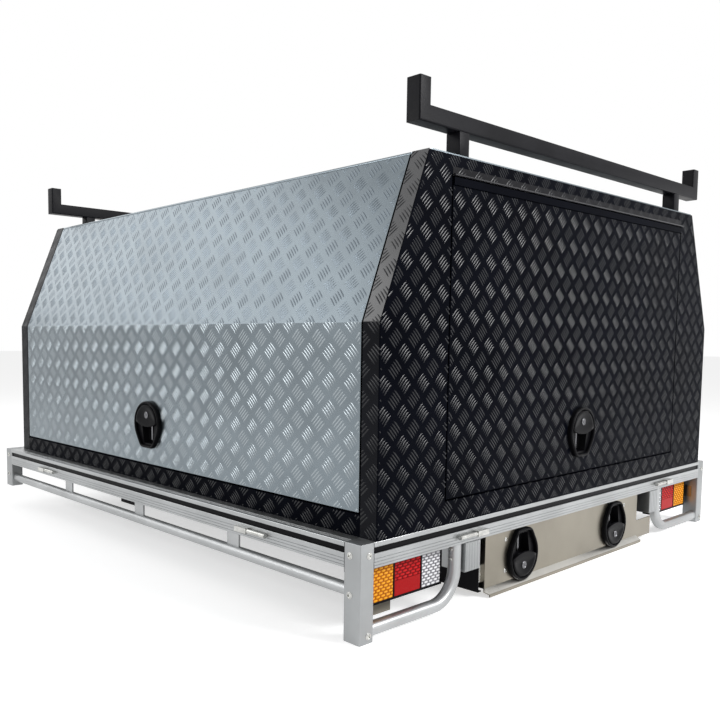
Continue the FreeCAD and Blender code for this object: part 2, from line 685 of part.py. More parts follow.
def build_roof():
    """The roof sheet with its two headers, and the hinge along each edge."""
    edge = f"({ROOF_SIDE} - 2 * hinge_radius)"
    roof = block("roof_sheet", (f"-{edge}", edge), (REAR, CANOPY_FRONT), (f"{ROOF} - skin", ROOF))
    keep("canopy_roof", roof)
    hinges = []
    for side, word in ((-1, "left"), (1, "right")):
        pin_x, pin_z = hinge_point(side)
        pin = rod(f"hinge_pin_{word}", "hinge_radius", DOOR_LENGTH, (pin_x, DOOR_START, pin_z), (0, 1, 0))
        leaf = block(f"hinge_leaf_{word}", span(side, f"{ROOF_SIDE} - 2 * hinge_radius - hinge_leaf",
                                                f"{ROOF_SIDE} - hinge_radius"),
                     (DOOR_START, f"{DOOR_START} + {DOOR_LENGTH}"), (f"{ROOF} - 2 * skin", f"{ROOF} - skin"))
        hinges.append(joined(f"hinge_{word}", [pin, leaf]))
    keep("side_door_hinges", gathered("roof_hinges", hinges))


def hinge_point(side):
    """The axis of a side door's hinge: inside the corner between roof and slope."""
    x = f"({side} * ({ROOF_SIDE} - {CORNER_RUN}))"
    return x, f"({ROOF} - hinge_radius)"


def build_rear_door():
    """The rear door: a pan with returned edges and a hole for its latch."""
    half = f"({REAR_DOOR_SIDE} - door_gap / 2)"
    low = f"({DECK} + rear_door_bottom + door_gap / 2)"
    high = f"({REAR_DOOR_TOP} - door_gap / 2)"
    body = profile_body("rear_door_body", "XZ", [rectangle(f"-{half}", half, low, high)], REAR, "door_depth")
    add_pocket(body, "XZ", [rectangle(f"-{half} + skin", f"{half} - skin", f"{low} + skin", f"{high} - skin")],
               f"{REAR} + skin", "door_depth")
    leaf = block("rear_door_leaf", (f"-{half}", half), (f"{REAR} - rear_leaf", REAR),
                 (f"{high} - rear_leaf_height", high))
    hole = latch_prism("rear_door_hole", "latch_rim + 1", "-latch_body * 2", "latch_body * 4", rear_latch_frame())
    keep("rear_door", less("rear_door_cut", joined("rear_door_solid", [body, leaf]), hole))


def build_rain_strip():
    """The hinge and rain strip along the top of the rear door."""
    low = f"({REAR_DOOR_TOP} + door_gap / 2 + skin)"
    strip = block("strip", (f"-{REAR_DOOR_SIDE}", REAR_DOOR_SIDE), (f"{REAR} - rain_strip_reach", REAR),
                  (low, f"{low} + rain_strip_height"))
    pin = rod("strip_pin", "hinge_radius", f"2 * {REAR_DOOR_SIDE}", (f"-{REAR_DOOR_SIDE}", REAR_PIN_Y, REAR_PIN_Z),
              (1, 0, 0))
    keep("rear_door_hinge", joined("rear_hinge", [strip, pin]))


REAR_PIN_Y = f"({REAR} - hinge_radius)"
REAR_PIN_Z = f"({REAR_DOOR_TOP} - door_gap / 2 + hinge_radius + hinge_gap)"


def build_racks():
    """Two square-tube roof racks, each a bar with an upright at both ends and two posts."""
    half = f"({ROOF_SIDE} + rack_overhang)"
    post = f"({ROOF_SIDE} - rack_post_inset)"
    bar_low = f"({ROOF} + rack_clear)"
    bar_high = f"({bar_low} + rack_tube)"
    for word, y_low in (("rear", REAR), ("front", f"({CANOPY_FRONT} - rack_tube)")):
        tubes = {"shell": "0", "bore": "rack_wall"}
        for part_word, inset in tubes.items():
            y_range = (f"{y_low} + {inset}", f"{y_low} + rack_tube - {inset}")
            pieces = [block(f"rack_bar_{word}_{part_word}", (f"-{half} + {inset}", f"{half} - {inset}"), y_range,
                            (f"{bar_low} + {inset}", f"{bar_high} - {inset}"))]
            for side in (-1, 1):
                pieces.append(block(f"rack_upright_{word}_{part_word}_{side}",
                                    span(side, f"{half} - rack_tube + {inset}", f"{half} - {inset}"), y_range,
                                    (f"{bar_low} + {inset}", f"{bar_high} + rack_upright - {inset}")))
                pieces.append(block(f"rack_post_{word}_{part_word}_{side}",
                                    span(side, f"{post} - rack_tube / 2 + {inset}", f"{post} + rack_tube / 2 - {inset}"),
                                    y_range, (f"{ROOF} - {inset}", bar_low)))
            tubes[part_word] = joined(f"rack_{word}_{part_word}", pieces)
        keep(f"roof_rack_{word}", less(f"rack_{word}", tubes["shell"], tubes["bore"]))


def side_latch_frame(side):
    """Where a side door's latch sits: middle, right, up and outward directions."""
    middle = (f"{side} * {CANOPY_SIDE}", f"({REAR} + {CANOPY_FRONT}) / 2", f"{DECK} + side_latch_height")
    return middle, (0, side, 0), (0, 0, 1), (side, 0, 0)


def rear_latch_frame():
    """Where the rear door's latch sits."""
    return ("0", REAR, f"{DECK} + rear_latch_height"), (1, 0, 0), (0, 0, 1), (0, -1, 0)


def drawer_latch_frame(side):
    """Where a drawer latch sits; it hangs with its wide end down."""
    middle = (f"{side} * ({DRAWER_SIDE} - drawer_latch_inset)", f"{REAR} + drawer_face_setback",
              f"{DECK} - drawer_latch_drop")
    return middle, (-1, 0, 0), (0, 0, -1), (0, -1, 0)


def seat(item, frame):
    """Set an object made about its own origin into a latch's place."""
    middle, right, up, outward = frame
    matrix = FreeCAD.Matrix(right[0], up[0], outward[0], 0, right[1], up[1], outward[1], 0,
                            right[2], up[2], outward[2], 0, 0, 0, 0, 1)
    item.Placement = FreeCAD.Placement(matrix)
    place(item, *middle)
    return item


def draw_latch_outline(sketch, inset):
    """Draw the latch's outline: a wide round end, narrowing to a flat end with two round corners."""
    wide = f"latch_width / 2 - ({inset})"
    narrow = f"latch_corner - ({inset})"
    wide_y = "latch_height / 2 - latch_width / 2"
    narrow_x = "latch_narrow_end / 2 - latch_corner"
    narrow_y = "-latch_height / 2 + latch_corner"
    rise = value(wide_y) - value(narrow_y)
    gap = math.hypot(value(narrow_x), rise)
    angle = math.asin((value(wide) - value(narrow)) / gap) - math.atan2(value(narrow_x), rise)
    turns = [(-angle, math.pi + angle), (math.pi + angle, 1.5 * math.pi), (-0.5 * math.pi, -angle)]
    centres = [("0", wide_y), (f"-({narrow_x})", narrow_y), (narrow_x, narrow_y)]
    arcs = []
    for (x, y), radius, (start, end) in zip(centres, (wide, narrow, narrow), turns):
        circle = Part.Circle(FreeCAD.Vector(value(x), value(y), 0), FreeCAD.Vector(0, 0, 1), value(radius))
        arcs.append(Part.ArcOfCircle(circle, start, end))
    for index, arc in enumerate(arcs):
        sketch.addGeometry(arc, False)
        sketch.addGeometry(Part.LineSegment(arc.EndPoint, arcs[(index + 1) % 3].StartPoint), False)
    for index in range(6):
        sketch.addConstraint(Sketcher.Constraint("Tangent", index, 2, (index + 1) % 6, 1))
    sketch.addConstraint(Sketcher.Constraint("PointOnObject", 0, 3, -2))
    bounds = [(("DistanceY", -1, 1, 0, 3), wide_y), (("Radius", 0), wide)]
    for index, (x, y) in ((2, centres[1]), (4, centres[2])):
        bounds += [(("DistanceX", -1, 1, index, 3), x), (("DistanceY", -1, 1, index, 3), y), (("Radius", index), narrow)]
    for parts, text in bounds:
        number = sketch.addConstraint(Sketcher.Constraint(*parts, value(text)))
        sketch.setExpression(f"Constraints[{number}]", bound(text))


def latch_prism(name, inset, start, length, frame):
    """A straight prism on the latch's outline, in the latch's place."""
    body = doc.addObject("PartDesign::Body", name)
    sketch = sketch_on(body, "XY_Plane", name + "_outline", start)
    draw_latch_outline(sketch, inset)
    pad = body.newObject("PartDesign::Pad", name + "_pad")
    pad.Profile = sketch
    bind(pad, "Length", length)
    doc.recompute()
    return seat(body, frame)


def build_latch(label, name, frame):
    """A latch: its bezel with a finger recess, and the paddle on its pin at the wide end."""
    plate = latch_prism(name + "_plate", "0", "0", "latch_proud", frame)
    back = latch_prism(name + "_back", "latch_rim + 2", "-latch_body", "latch_body", frame)
    well = latch_prism(name + "_well", "latch_rim", "latch_proud - latch_paddle - latch_floor", "latch_proud", frame)
    foot = "-latch_height / 2 + latch_recess_margin"
    recess = profile_body(name + "_recess", "XY",
                          [[("-latch_recess_wide / 2", "latch_recess_top"), ("latch_recess_wide / 2", "latch_recess_top"),
                            ("latch_recess_narrow / 2", foot), ("-latch_recess_narrow / 2", foot)]],
                          "latch_floor - latch_body", "latch_body * 2")
    seat(recess, frame)
    solid = joined(name + "_solid", [plate, back])
    hollowed = less(name + "_hollowed", solid, gathered(name + "_hollows", [well, recess]))
    pin = latch_pin(name + "_pin", "latch_pin_radius", frame)
    keep("latch_bezel_" + label, joined(name + "_bezel", [hollowed, pin]))
    blade = latch_prism(name + "_blade", "latch_rim + latch_paddle_gap", "latch_proud - latch_paddle",
                        "latch_paddle", frame)
    trim = profile_body(name + "_trim", "XY",
                        [rectangle("-latch_width", "latch_width", "-latch_height", "-latch_paddle_edge")],
                        "-latch_body", "latch_body * 3")
    seat(trim, frame)
    bore = latch_pin(name + "_bore", "latch_pin_radius + latch_pin_gap", frame)
    keep("latch_paddle_" + label, less(name + "_paddle", blade, gathered(name + "_trims", [trim, bore])))


def latch_pin(name, radius, frame):
    """The round bar across the wide end of a latch, on the axis that the paddle turns about."""
    rise = "(latch_height / 2 - latch_hinge_inset)"
    wide_y = "(latch_height / 2 - latch_width / 2)"
    half = f"(sqrt((latch_width / 2 - latch_rim) ^ 2 - ({rise} - {wide_y}) ^ 2) + latch_rim / 4)"
    bar = rod(name + "_bar", radius, f"2 * {half}", (f"-{half}", rise, "latch_proud - latch_paddle / 2"), (1, 0, 0))
    return seat(gathered(name, [bar]), frame)


def build_latches():
    """The five latches: one in each door and two in the drawer."""
    build_latch("side_left", "side_latch_left", side_latch_frame(-1))
    build_latch("side_right", "side_latch_right", side_latch_frame(1))
    build_latch("rear", "rear_latch", rear_latch_frame())
    build_latch("drawer_left", "drawer_latch_left", drawer_latch_frame(-1))
    build_latch("drawer_right", "drawer_latch_right", drawer_latch_frame(1))


def build_drawer():
    """The trundle drawer under the tray: its housing, its slides, its box and its face."""
    half = DRAWER_SIDE
    face_front = f"({REAR} + drawer_face_setback)"
    face_back = f"({face_front} + drawer_face_thickness)"
    box_front = f"({face_back} + drawer_length)"
    rail_z = (f"{DECK} - slide_drop - slide_height / 2", f"{DECK} - slide_drop + slide_height / 2")
    housing_x = f"({half} + slide_depth + slide_gap)"
    housing_y = (f"{face_back} + door_gap", f"{box_front} + door_gap")
    housing_parts = []
    rail_parts = []
    for side, word in ((-1, "left"), (1, "right")):
        plate = block(f"housing_plate_{word}", span(side, housing_x, f"{housing_x} + housing_sheet"), housing_y,
                      (f"{DECK} - drawer_face_bottom", COAMING_FOOT))
        flange = block(f"housing_top_{word}", span(side, housing_x, RUNNER_INNER), housing_y,
                       (f"{COAMING_FOOT} - housing_sheet", COAMING_FOOT))
        foot = block(f"housing_foot_{word}", span(side, f"{housing_x} - housing_bottom_flange", housing_x), housing_y,
                     (f"{DECK} - drawer_face_bottom", f"{DECK} - drawer_face_bottom + housing_sheet"))
        housing_parts.append(joined(f"housing_{word}", [plate, flange, foot]))
        channel = block(f"channel_{word}", span(side, f"{half} + slide_gap", housing_x), housing_y, rail_z)
        groove = block(f"groove_{word}", span(side, f"{half} - slide_gap", f"{housing_x} - slide_wall"),
                       (f"{housing_y[0]} - 10", f"{housing_y[1]} + 10"),
                       (f"{rail_z[0]} + slide_wall", f"{rail_z[1]} - slide_wall"))
        housing_parts.append(less(f"slide_channel_{word}", channel, groove))
        rail_parts.append(block(f"slide_bar_{word}",
                                span(side, f"{half}", f"{housing_x} - slide_wall - slide_gap"),
                                (housing_y[0], f"{box_front}"),
                                (f"{rail_z[0]} + slide_wall + slide_gap", f"{rail_z[1]} - slide_wall - slide_gap")))
    keep("drawer_housing", gathered("housing", housing_parts[0::2]))
    keep("drawer_slide_channels", gathered("channels", housing_parts[1::2]))
    keep("drawer_slide_bars", gathered("bars", rail_parts))
    outer = block("drawer_outer", (f"-{half}", half), (face_back, box_front),
                  (f"{DECK} - drawer_box_bottom", f"{DECK} - drawer_box_top"))
    hollow = block("drawer_hollow", (f"-{half} + drawer_sheet", f"{half} - drawer_sheet"),
                   (f"{face_back} + drawer_sheet", f"{box_front} - drawer_sheet"),
                   (f"{DECK} - drawer_box_bottom + drawer_sheet", f"{DECK} - drawer_box_top + drawer_sheet"))
    mouth = block("drawer_mouth", (f"-{half} + drawer_front_flange", f"{half} - drawer_front_flange"),
                  (f"{face_back} - drawer_sheet", f"{face_back} + 2 * drawer_sheet"),
                  (f"{DECK} - drawer_box_bottom + drawer_sheet", f"{DECK} - drawer_box_top + drawer_sheet"))
    keep("drawer_box", less("drawer_box_cut", outer, gathered("drawer_cutters", [hollow, mouth])))
    top = f"({DECK} - drawer_face_top)"
    foot = f"({DECK} - drawer_face_bottom)"
    face = profile_body("face_plate", "XZ",
                        [[(f"-{half}", foot), (f"{half} + drawer_tongue_length", foot),
                          (f"{half} + drawer_tongue_length", f"{foot} + drawer_tongue_height"),
                          (half, f"{foot} + drawer_tongue_height"), (half, top), (f"-{half}", top)]],
                        face_front, "drawer_face_thickness")
    lip_edge = f"({face_front} - drawer_lip_reach)"
    lip = profile_body("face_lip", "YZ",
                       [[(face_front, foot), (lip_edge, f"{foot} - drawer_lip_fall"),
                         (lip_edge, f"{foot} - drawer_lip_fall - drawer_lip_drop"),
                         (f"{lip_edge} + drawer_lip_thickness", f"{foot} - drawer_lip_fall - drawer_lip_drop"),
                         (f"{lip_edge} + drawer_lip_thickness", f"{foot} - drawer_lip_fall - drawer_lip_thickness"),
                         (face_back, f"{foot} - drawer_lip_thickness"), (face_back, foot)]],
                       f"-{half}", f"2 * {half}")
    holes = []
    for side in (-1, 1):
        holes.append(latch_prism(f"face_hole_{side}", "latch_rim + 1", "-latch_body * 1.5", "latch_body * 2",
                                 drawer_latch_frame(side)))
    keep("drawer_face", less("face_cut", joined("face_solid", [face, lip]), gathered("face_holes", holes)))


def main():
    """Build every sub-part, check it and write it."""
    build_deck()
    build_coamings()
    build_posts()
    build_runners()
    build_rope_rails()
    build_pins()
    build_light_guards()
    build_tail_lights()
    build_pillars()
    build_sills()
    build_walls()
    build_roof()
    build_side_door(-1, "left")
    build_side_door(1, "right")
    build_rear_door()
    build_rain_strip()
    build_racks()
    build_latches()
    build_drawer()
    doc.recompute()
    for item in doc.Objects:
        if "Invalid" in item.State or "Error" in item.State:
            raise RuntimeError(item.Name + " failed: " + str(item.State))
    for label, item in nodes.items():
        if item.Shape.isNull() or not item.Shape.isValid() or not item.Shape.Solids:
            raise RuntimeError(label + " has no valid shape")
    os.makedirs("parts", exist_ok=True)
    for label, item in nodes.items():
        item.Shape.exportStep(f"parts/{label}.step")
        box = item.Shape.BoundBox
        print(f"{label}: {len(item.Shape.Solids)} solids, {item.Shape.Volume / 1e6:.3f} dm3,"
              f" X {box.XMin:.1f} {box.XMax:.1f} Y {box.YMin:.1f} {box.YMax:.1f} Z {box.ZMin:.1f} {box.ZMax:.1f}")


main()
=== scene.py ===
"""Looks for an aluminium pickup canopy on the alloy tray that carries it.

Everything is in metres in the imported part's own frame: X to the right seen from behind, Y to the
cab and Z up, with the floor at zero. Pieces that stand for a CAD node are made where that node is.
"""

import logging
import math
from dataclasses import dataclass
from enum import Enum
from typing import Callable, Iterable, Sequence

import bmesh
import bpy
import numpy as np
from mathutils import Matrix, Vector


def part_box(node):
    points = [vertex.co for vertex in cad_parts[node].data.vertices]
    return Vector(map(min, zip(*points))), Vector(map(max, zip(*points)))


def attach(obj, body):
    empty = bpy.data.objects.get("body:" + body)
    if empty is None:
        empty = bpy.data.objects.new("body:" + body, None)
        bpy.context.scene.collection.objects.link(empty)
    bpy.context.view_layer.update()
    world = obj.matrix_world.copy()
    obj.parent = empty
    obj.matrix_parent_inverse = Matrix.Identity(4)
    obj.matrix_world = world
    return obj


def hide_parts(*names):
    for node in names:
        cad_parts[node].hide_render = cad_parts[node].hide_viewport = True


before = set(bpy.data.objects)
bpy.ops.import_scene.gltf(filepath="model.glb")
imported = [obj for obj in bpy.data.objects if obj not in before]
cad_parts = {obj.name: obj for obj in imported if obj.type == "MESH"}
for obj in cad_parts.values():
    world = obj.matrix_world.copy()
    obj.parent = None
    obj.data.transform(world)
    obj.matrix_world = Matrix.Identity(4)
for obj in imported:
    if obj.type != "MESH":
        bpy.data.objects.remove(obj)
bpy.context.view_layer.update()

MM = 0.001
TINY = 1e-12
SLACK = 1e-6
WHITE = (1.0, 1.0, 1.0, 1.0)
LOG = logging.getLogger("canopy")

Number = "float | Wire"
Outline = Sequence[tuple[float, float]]
TRAY = "tray_and_canopy"


class Slot(Enum):
    """The record's material slots."""

    TRAY = "tray_aluminium"
    SILVER = "silver_tread_plate"
    BLACK = "black_tread_plate"
    STEEL = "black_steel"
    BRUSHED = "brushed_steel"
    ZINC = "zinc_steel"
    PLASTIC = "black_plastic"
    AMBER = "lens_amber"
    RED = "lens_red"
    CLEAR = "lens_clear"


class Grain(Enum):
    """Which way a finish's fine marks run: along an axis of the part, or no way in particular."""

    ALONG_X = (0.02, 1.0, 1.0)
    ALONG_Y = (1.0, 0.02, 1.0)
    ALONG_Z = (1.0, 1.0, 0.02)
    NONE = (1.0, 1.0, 1.0)


class Side(Enum):
    """The left or the right of the part, with the sign of its X."""

    LEFT = -1
    RIGHT = 1

    @property
    def word(self) -> str:
        """The side's name in lower case."""
        return self.name.lower()


# ---------------------------------------------------------------- shader nodes


def operator(operation: str, reflected: bool = False) -> Callable[["Wire", Number], "Wire"]:
    """A method that adds one Math node on a wire and another wire or number.

    Args:
        operation: The Math node's operation.
        reflected: The wire is the second of the two.

    Returns:
        The method.
    """

    def method(wire: "Wire", other: Number) -> "Wire":
        """The operation on both."""
        first, second = (other, wire) if reflected else (wire, other)
        return wire.net.math(operation, first, second)

    return method


class Wire:
    """A number socket that Python expressions can use; each operator adds one Math node."""

    __add__ = __radd__ = operator("ADD")
    __sub__ = operator("SUBTRACT")
    __rsub__ = operator("SUBTRACT", reflected=True)
    __mul__ = __rmul__ = operator("MULTIPLY")

    def __init__(self, net: "Net", socket: bpy.types.NodeSocket) -> None:
        """Wrap one output socket of a net."""
        self.net = net
        self.socket = socket

    def ramp(self, low: float, high: float) -> "Wire":
        """Zero at low, one at high, smooth between, and held outside them."""
        node = self.net.add("ShaderNodeMapRange", {"interpolation_type": "SMOOTHSTEP"},
                            {"Value": self, "From Min": low, "From Max": high})
        return Wire(self.net, node.outputs["Result"])


class Net:
    """The nodes of one material or world, added one after another."""

    def __init__(self, tree: bpy.types.NodeTree) -> None:
        """Start from an empty tree."""
        self.tree = tree
        tree.nodes.clear()

    def add(self, kind: str, settings: dict | None = None, inputs: dict | None = None) -> bpy.types.Node:
        """Add one node.

        Args:
            kind: The node's type.
            settings: Its own options, set before its sockets.
            inputs: What each socket, by name or number, is set or linked to.

        Returns:
            The new node.
        """
        node = self.tree.nodes.new(kind)
        for name, setting in (settings or {}).items():
            setattr(node, name, setting)
        for name, source in (inputs or {}).items():
            if isinstance(source, Wire):
                source = source.socket
            if isinstance(source, bpy.types.NodeSocket):
                self.tree.links.new(source, node.inputs[name])
            else:
                node.inputs[name].default_value = source
        return node

    def math(self, operation: str, first: Number, second: Number) -> Wire:
        """One Math node on two numbers or wires."""
        node = self.add("ShaderNodeMath", {"operation": operation}, {0: first, 1: second})
        return Wire(self, node.outputs[0])

    def noise(self, scale: float, detail: float = 3.0, stretch: Sequence[float] = (1.0, 1.0, 1.0)) -> Wire:
        """Soft noise from about 0 to 1 that stays put on the piece.

        Args:
            scale: Cycles per metre.
            detail: How many finer layers it has.
            stretch: Factors on the scale along X, Y and Z.

        Returns:
            The noise as a number.
        """
        place = self.add("ShaderNodeTexCoord").outputs["Object"]
        scaled = self.add("ShaderNodeVectorMath", {"operation": "MULTIPLY"}, {0: place, 1: tuple(stretch)})
        node = self.add("ShaderNodeTexNoise", {"noise_dimensions": "3D"},
                        {"Vector": scaled.outputs[0], "Scale": scale, "Detail": detail})
        return Wire(self, node.outputs["Fac"])

    def coordinate(self, axis: str) -> Wire:
        """A point's coordinate along one axis of the part."""
        place = self.add("ShaderNodeTexCoord").outputs["Object"]
        return Wire(self, self.add("ShaderNodeSeparateXYZ", None, {0: place}).outputs[axis])

    def blend(self, factor: Number, first: Sequence[float], second: Sequence[float]) -> bpy.types.NodeSocket:
        """Mix two colours by a factor."""
        node = self.add("ShaderNodeMix", {"data_type": "RGBA"},
                        {0: factor, 6: (*first, 1.0), 7: (*second, 1.0)})
        return node.outputs[2]

    def bump(self, height: Wire, depth: float) -> bpy.types.NodeSocket:
        """A Normal that follows a height of the given depth in metres."""
        node = self.add("ShaderNodeBump", None, {"Height": height, "Distance": depth, "Strength": 1.0})
        return node.outputs["Normal"]

    def surface(self, inputs: dict) -> None:
        """Finish with one Principled surface."""
        shader = self.add("ShaderNodeBsdfPrincipled", None, inputs)
        self.add("ShaderNodeOutputMaterial", None, {"Surface": shader.outputs["BSDF"]})


def new_net(name: str) -> tuple[bpy.types.Material, Net]:
    """A fresh material and the net of its nodes."""
    material = bpy.data.materials.new(name)
    material.use_nodes = True
    return material, Net(material.node_tree)


def shade(colour: Sequence[float], factor: float) -> tuple[float, ...]:
    """The colour made lighter or darker by a factor."""
    return tuple(min(1.0, channel * factor) for channel in colour)


@dataclass(frozen=True)
class Finish:
    """A surface finish: its colour, its sheen and the fine marks and clouding that it shows."""

    name: str
    slot: Slot
    colour: tuple[float, float, float]
    metallic: float
    roughness: float
    grain: Grain = Grain.NONE
    grain_scale: float = 400.0
    grain_depth: float = 0.00002
    clouding: float = 0.12
    cloud_scale: float = 7.0
    specular: float = 0.5
    coat: float = 0.0
    coat_from: float | None = None
    coat_blend: float = 4 * MM
    coat_ior: float = 1.9
    coat_roughness: float = 0.2
    cloud_range: tuple[float, float] = (0.3, 0.7)
    cloud_share: float = 0.7
    mark_roughness: float = 0.25

    def build(self) -> bpy.types.Material:
        """Make the material; its clear coat starts at a height where coat_from gives one, a painted reflection on
        what lies above that height.

        Returns:
            A material whose colour and roughness drift slowly and whose bump shows the fine marks.
        """
        material, net = new_net(self.name)
        cloud = net.noise(self.cloud_scale, 4.0).ramp(*self.cloud_range)
        marks = net.noise(self.grain_scale, stretch=self.grain.value)
        light = shade(self.colour, 1.0 + self.clouding)
        dark = shade(self.colour, 1.0 - self.clouding)
        rough = self.roughness * (1.0 - 0.5 * self.clouding) + cloud * (self.clouding * self.roughness)
        coat = self.coat
        # A clear coat only above a height paints a reflection on the part above it.
        if self.coat_from is not None:
            coat = net.coordinate("Z").ramp(self.coat_from, self.coat_from + self.coat_blend) * self.coat
        net.surface({
            "Base Color": net.blend(cloud * self.cloud_share + marks * (1.0 - self.cloud_share), dark, light),
            "Metallic": self.metallic,
            "Roughness": rough + (marks - 0.5) * (self.mark_roughness * self.roughness),
            "Specular IOR Level": self.specular,
            "Coat Weight": coat,
            "Coat IOR": self.coat_ior,
            "Coat Roughness": self.coat_roughness,
            "Normal": net.bump(marks, self.grain_depth),
        })
        return material


@dataclass(frozen=True)
class LensFinish:
    """Coloured lens plastic with painted shade: bright on its beads and darker in the valleys between them."""

    name: str
    slot: Slot
    colour: tuple[float, float, float]
    # deep is the colour in the valleys between the beads: a painted shade.
    deep: tuple[float, float, float]
    bead: float = 0.0016
    valley_shade: tuple[float, float] = (0.1, 0.9)
    roughness: float = 0.10
    haze: float = 0.08
    haze_scale: float = 60.0
    haze_depth: float = 0.1 * MM
    specular: float = 0.05

    def build(self) -> bpy.types.Material:
        """Make the material: its colour follows how far a point lies behind the beads' tops, darkening into the
        valleys as painted shade.
        """
        material, net = new_net(self.name)
        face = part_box(f"tail_light_{self.name.replace('lens', 'lenses')}")[0].y
        valley_shade = net.coordinate("Y").ramp(*(face + share * self.bead for share in self.valley_shade))
        haze = net.noise(self.haze_scale, 2.0)
        net.surface({
            "Base Color": net.blend(valley_shade, self.colour, self.deep),
            "Roughness": self.roughness + haze * self.haze,
            "Specular IOR Level": self.specular,
            "Normal": net.bump(haze, self.haze_depth),
        })
        return material


SATIN = (0.385, 0.395, 0.40)
FINISHES = {
    "rail_x": Finish("satin_aluminium_x", Slot.TRAY, SATIN, 0.9, 0.32, Grain.ALONG_X, 900.0),
    "rail_y": Finish("satin_aluminium_y", Slot.TRAY, SATIN, 0.9, 0.32, Grain.ALONG_Y, 900.0),
    "rail_z": Finish("satin_aluminium_z", Slot.TRAY, (0.345, 0.355, 0.36), 0.9, 0.36, Grain.ALONG_Z, 900.0),
    "tube": Finish("satin_tube", Slot.TRAY, (0.43, 0.44, 0.445), 0.9, 0.42, grain_scale=500.0),
    "silver": Finish("silver_tread", Slot.SILVER, (0.184, 0.215, 0.236), 0.95, 0.27, grain_scale=350.0,
                     grain_depth=0.03 * MM, clouding=0.1),
    # The bars' copy of the silver tread is lighter and glossier than the field: a painted highlight on the bars.
    "silver_bar_highlight": Finish("silver_tread_bars", Slot.SILVER, (0.305, 0.340, 0.360), 0.95, 0.21, grain_scale=900.0,
                         grain_depth=0.01 * MM, cloud_scale=9.0),
    # The sloping bars' copy of the silver tread is darker than the field: a painted shade on the bars.
    "slope_bar_shade": Finish("silver_tread_slope_bars", Slot.SILVER, (0.130, 0.155, 0.178), 0.95, 0.26,
                        grain_scale=900.0, grain_depth=0.01 * MM, cloud_scale=9.0),
    "black": Finish("black_tread", Slot.BLACK, (0.0020, 0.0025, 0.0050), 0.0, 0.30, grain_scale=900.0,
                    clouding=0.25, cloud_scale=5.0, specular=0.01),
    # The bars' copy of the black tread is lighter and far more specular than the field: a painted highlight on the
    # bars.
    "black_bar_highlight": Finish("black_tread_bars", Slot.BLACK, (0.006, 0.007, 0.010), 0.0, 0.22, grain_scale=900.0,
                        grain_depth=0.01 * MM, clouding=0.25, cloud_scale=9.0, specular=0.28),
    # The corner pillars' copy of the black tread is lighter and more specular than the walls': a painted reflection.
    # The rear pillars' copy also has a clear coat above the kink, a painted reflection on their slope.
    "strip": Finish("black_tread_strip", Slot.BLACK, (0.0040, 0.0046, 0.0072), 0.0, 0.30, grain_scale=900.0,
                    clouding=0.25, cloud_scale=5.0, specular=0.07),
    "rear_strip_reflection": Finish("black_tread_rear_strip", Slot.BLACK, (0.0040, 0.0046, 0.0072), 0.0, 0.30,
                         grain_scale=900.0, clouding=0.25, cloud_scale=5.0, specular=0.07, coat=0.9,
                         coat_from=0.716),
    "steel": Finish("black_steel", Slot.STEEL, (0.008, 0.008, 0.010), 0.0, 0.34, grain_scale=1400.0,
                    grain_depth=0.03 * MM, clouding=0.2, cloud_scale=12.0, specular=0.055),
    # The rain strip's nose is a lighter, shinier copy of the black steel: a painted glint along it.
    "nose": Finish("rain_strip_painted_glint", Slot.STEEL, (0.03, 0.03, 0.034), 0.0, 0.25, Grain.ALONG_X, 1400.0,
                   clouding=0.2, cloud_scale=12.0, specular=0.30),
    "brushed": Finish("brushed_steel", Slot.BRUSHED, (0.27, 0.248, 0.205), 1.0, 0.3, Grain.ALONG_X, 1500.0),
    # The drawer lip's band is a lighter copy of the brushed steel: a painted highlight on the sloping band.
    "lip": Finish("drawer_lip_painted_highlight", Slot.BRUSHED, (0.56, 0.545, 0.51), 1.0, 0.3, Grain.ALONG_X, 1500.0),
    "zinc": Finish("zinc_steel", Slot.ZINC, (0.52, 0.52, 0.50), 1.0, 0.25, grain_scale=300.0, clouding=0.2,
                   cloud_scale=60.0),
    "plastic": Finish("black_plastic", Slot.PLASTIC, (0.004, 0.004, 0.005), 0.0, 0.30, grain_scale=1600.0,
                      grain_depth=0.03 * MM, clouding=0.2, cloud_scale=20.0, specular=0.055),
    "gloss": Finish("lock_metal", Slot.ZINC, (0.16, 0.16, 0.17), 1.0, 0.25, grain_scale=600.0,
                    grain_depth=0.01 * MM),
    "amber": LensFinish("lens_amber", Slot.AMBER, (0.95, 0.42, 0.03), (0.42, 0.10, 0.003)),
    "red": LensFinish("lens_red", Slot.RED, (0.62, 0.016, 0.018), (0.16, 0.003, 0.004)),
    "clear": LensFinish("lens_clear", Slot.CLEAR, (0.92, 0.92, 0.95), (0.16, 0.16, 0.18)),
}


class Paints:
    """Builds each finish once and hands its material out."""

    def __init__(self) -> None:
        """Start with nothing built."""
        self.built: dict[str, bpy.types.Material] = {}

    def material(self, finish: str) -> bpy.types.Material:
        """The material of a finish, built on first use."""
        if finish not in self.built:
            self.built[finish] = FINISHES[finish].build()
        return self.built[finish]

    def coat_node(self, node: str, finish: str) -> None:
        """Give a CAD node that stays in view one finish."""
        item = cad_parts[node]
        item.data.materials.clear()
        item.data.materials.append(self.material(finish))


PAINTS = Paints()


# ---------------------------------------------------------------- shapes


@dataclass(frozen=True)
class Place:
    """A spot on the part: an origin and the directions right, up and out of the surface there."""

    origin: Vector
    right: Vector
    up: Vector
    out: Vector

    def at(self, x: float, y: float, z: float = 0.0) -> Vector:
        """The part's point for a point in this place."""
        return self.origin + self.right * x + self.up * y + self.out * z

    def shifted(self, x: float, y: float, z: float = 0.0) -> "Place":
        """The same directions about another origin."""
        return Place(self.at(x, y, z), self.right, self.up, self.out)


X, Y, Z = Vector((1.0, 0.0, 0.0)), Vector((0.0, 1.0, 0.0)), Vector((0.0, 0.0, 1.0))


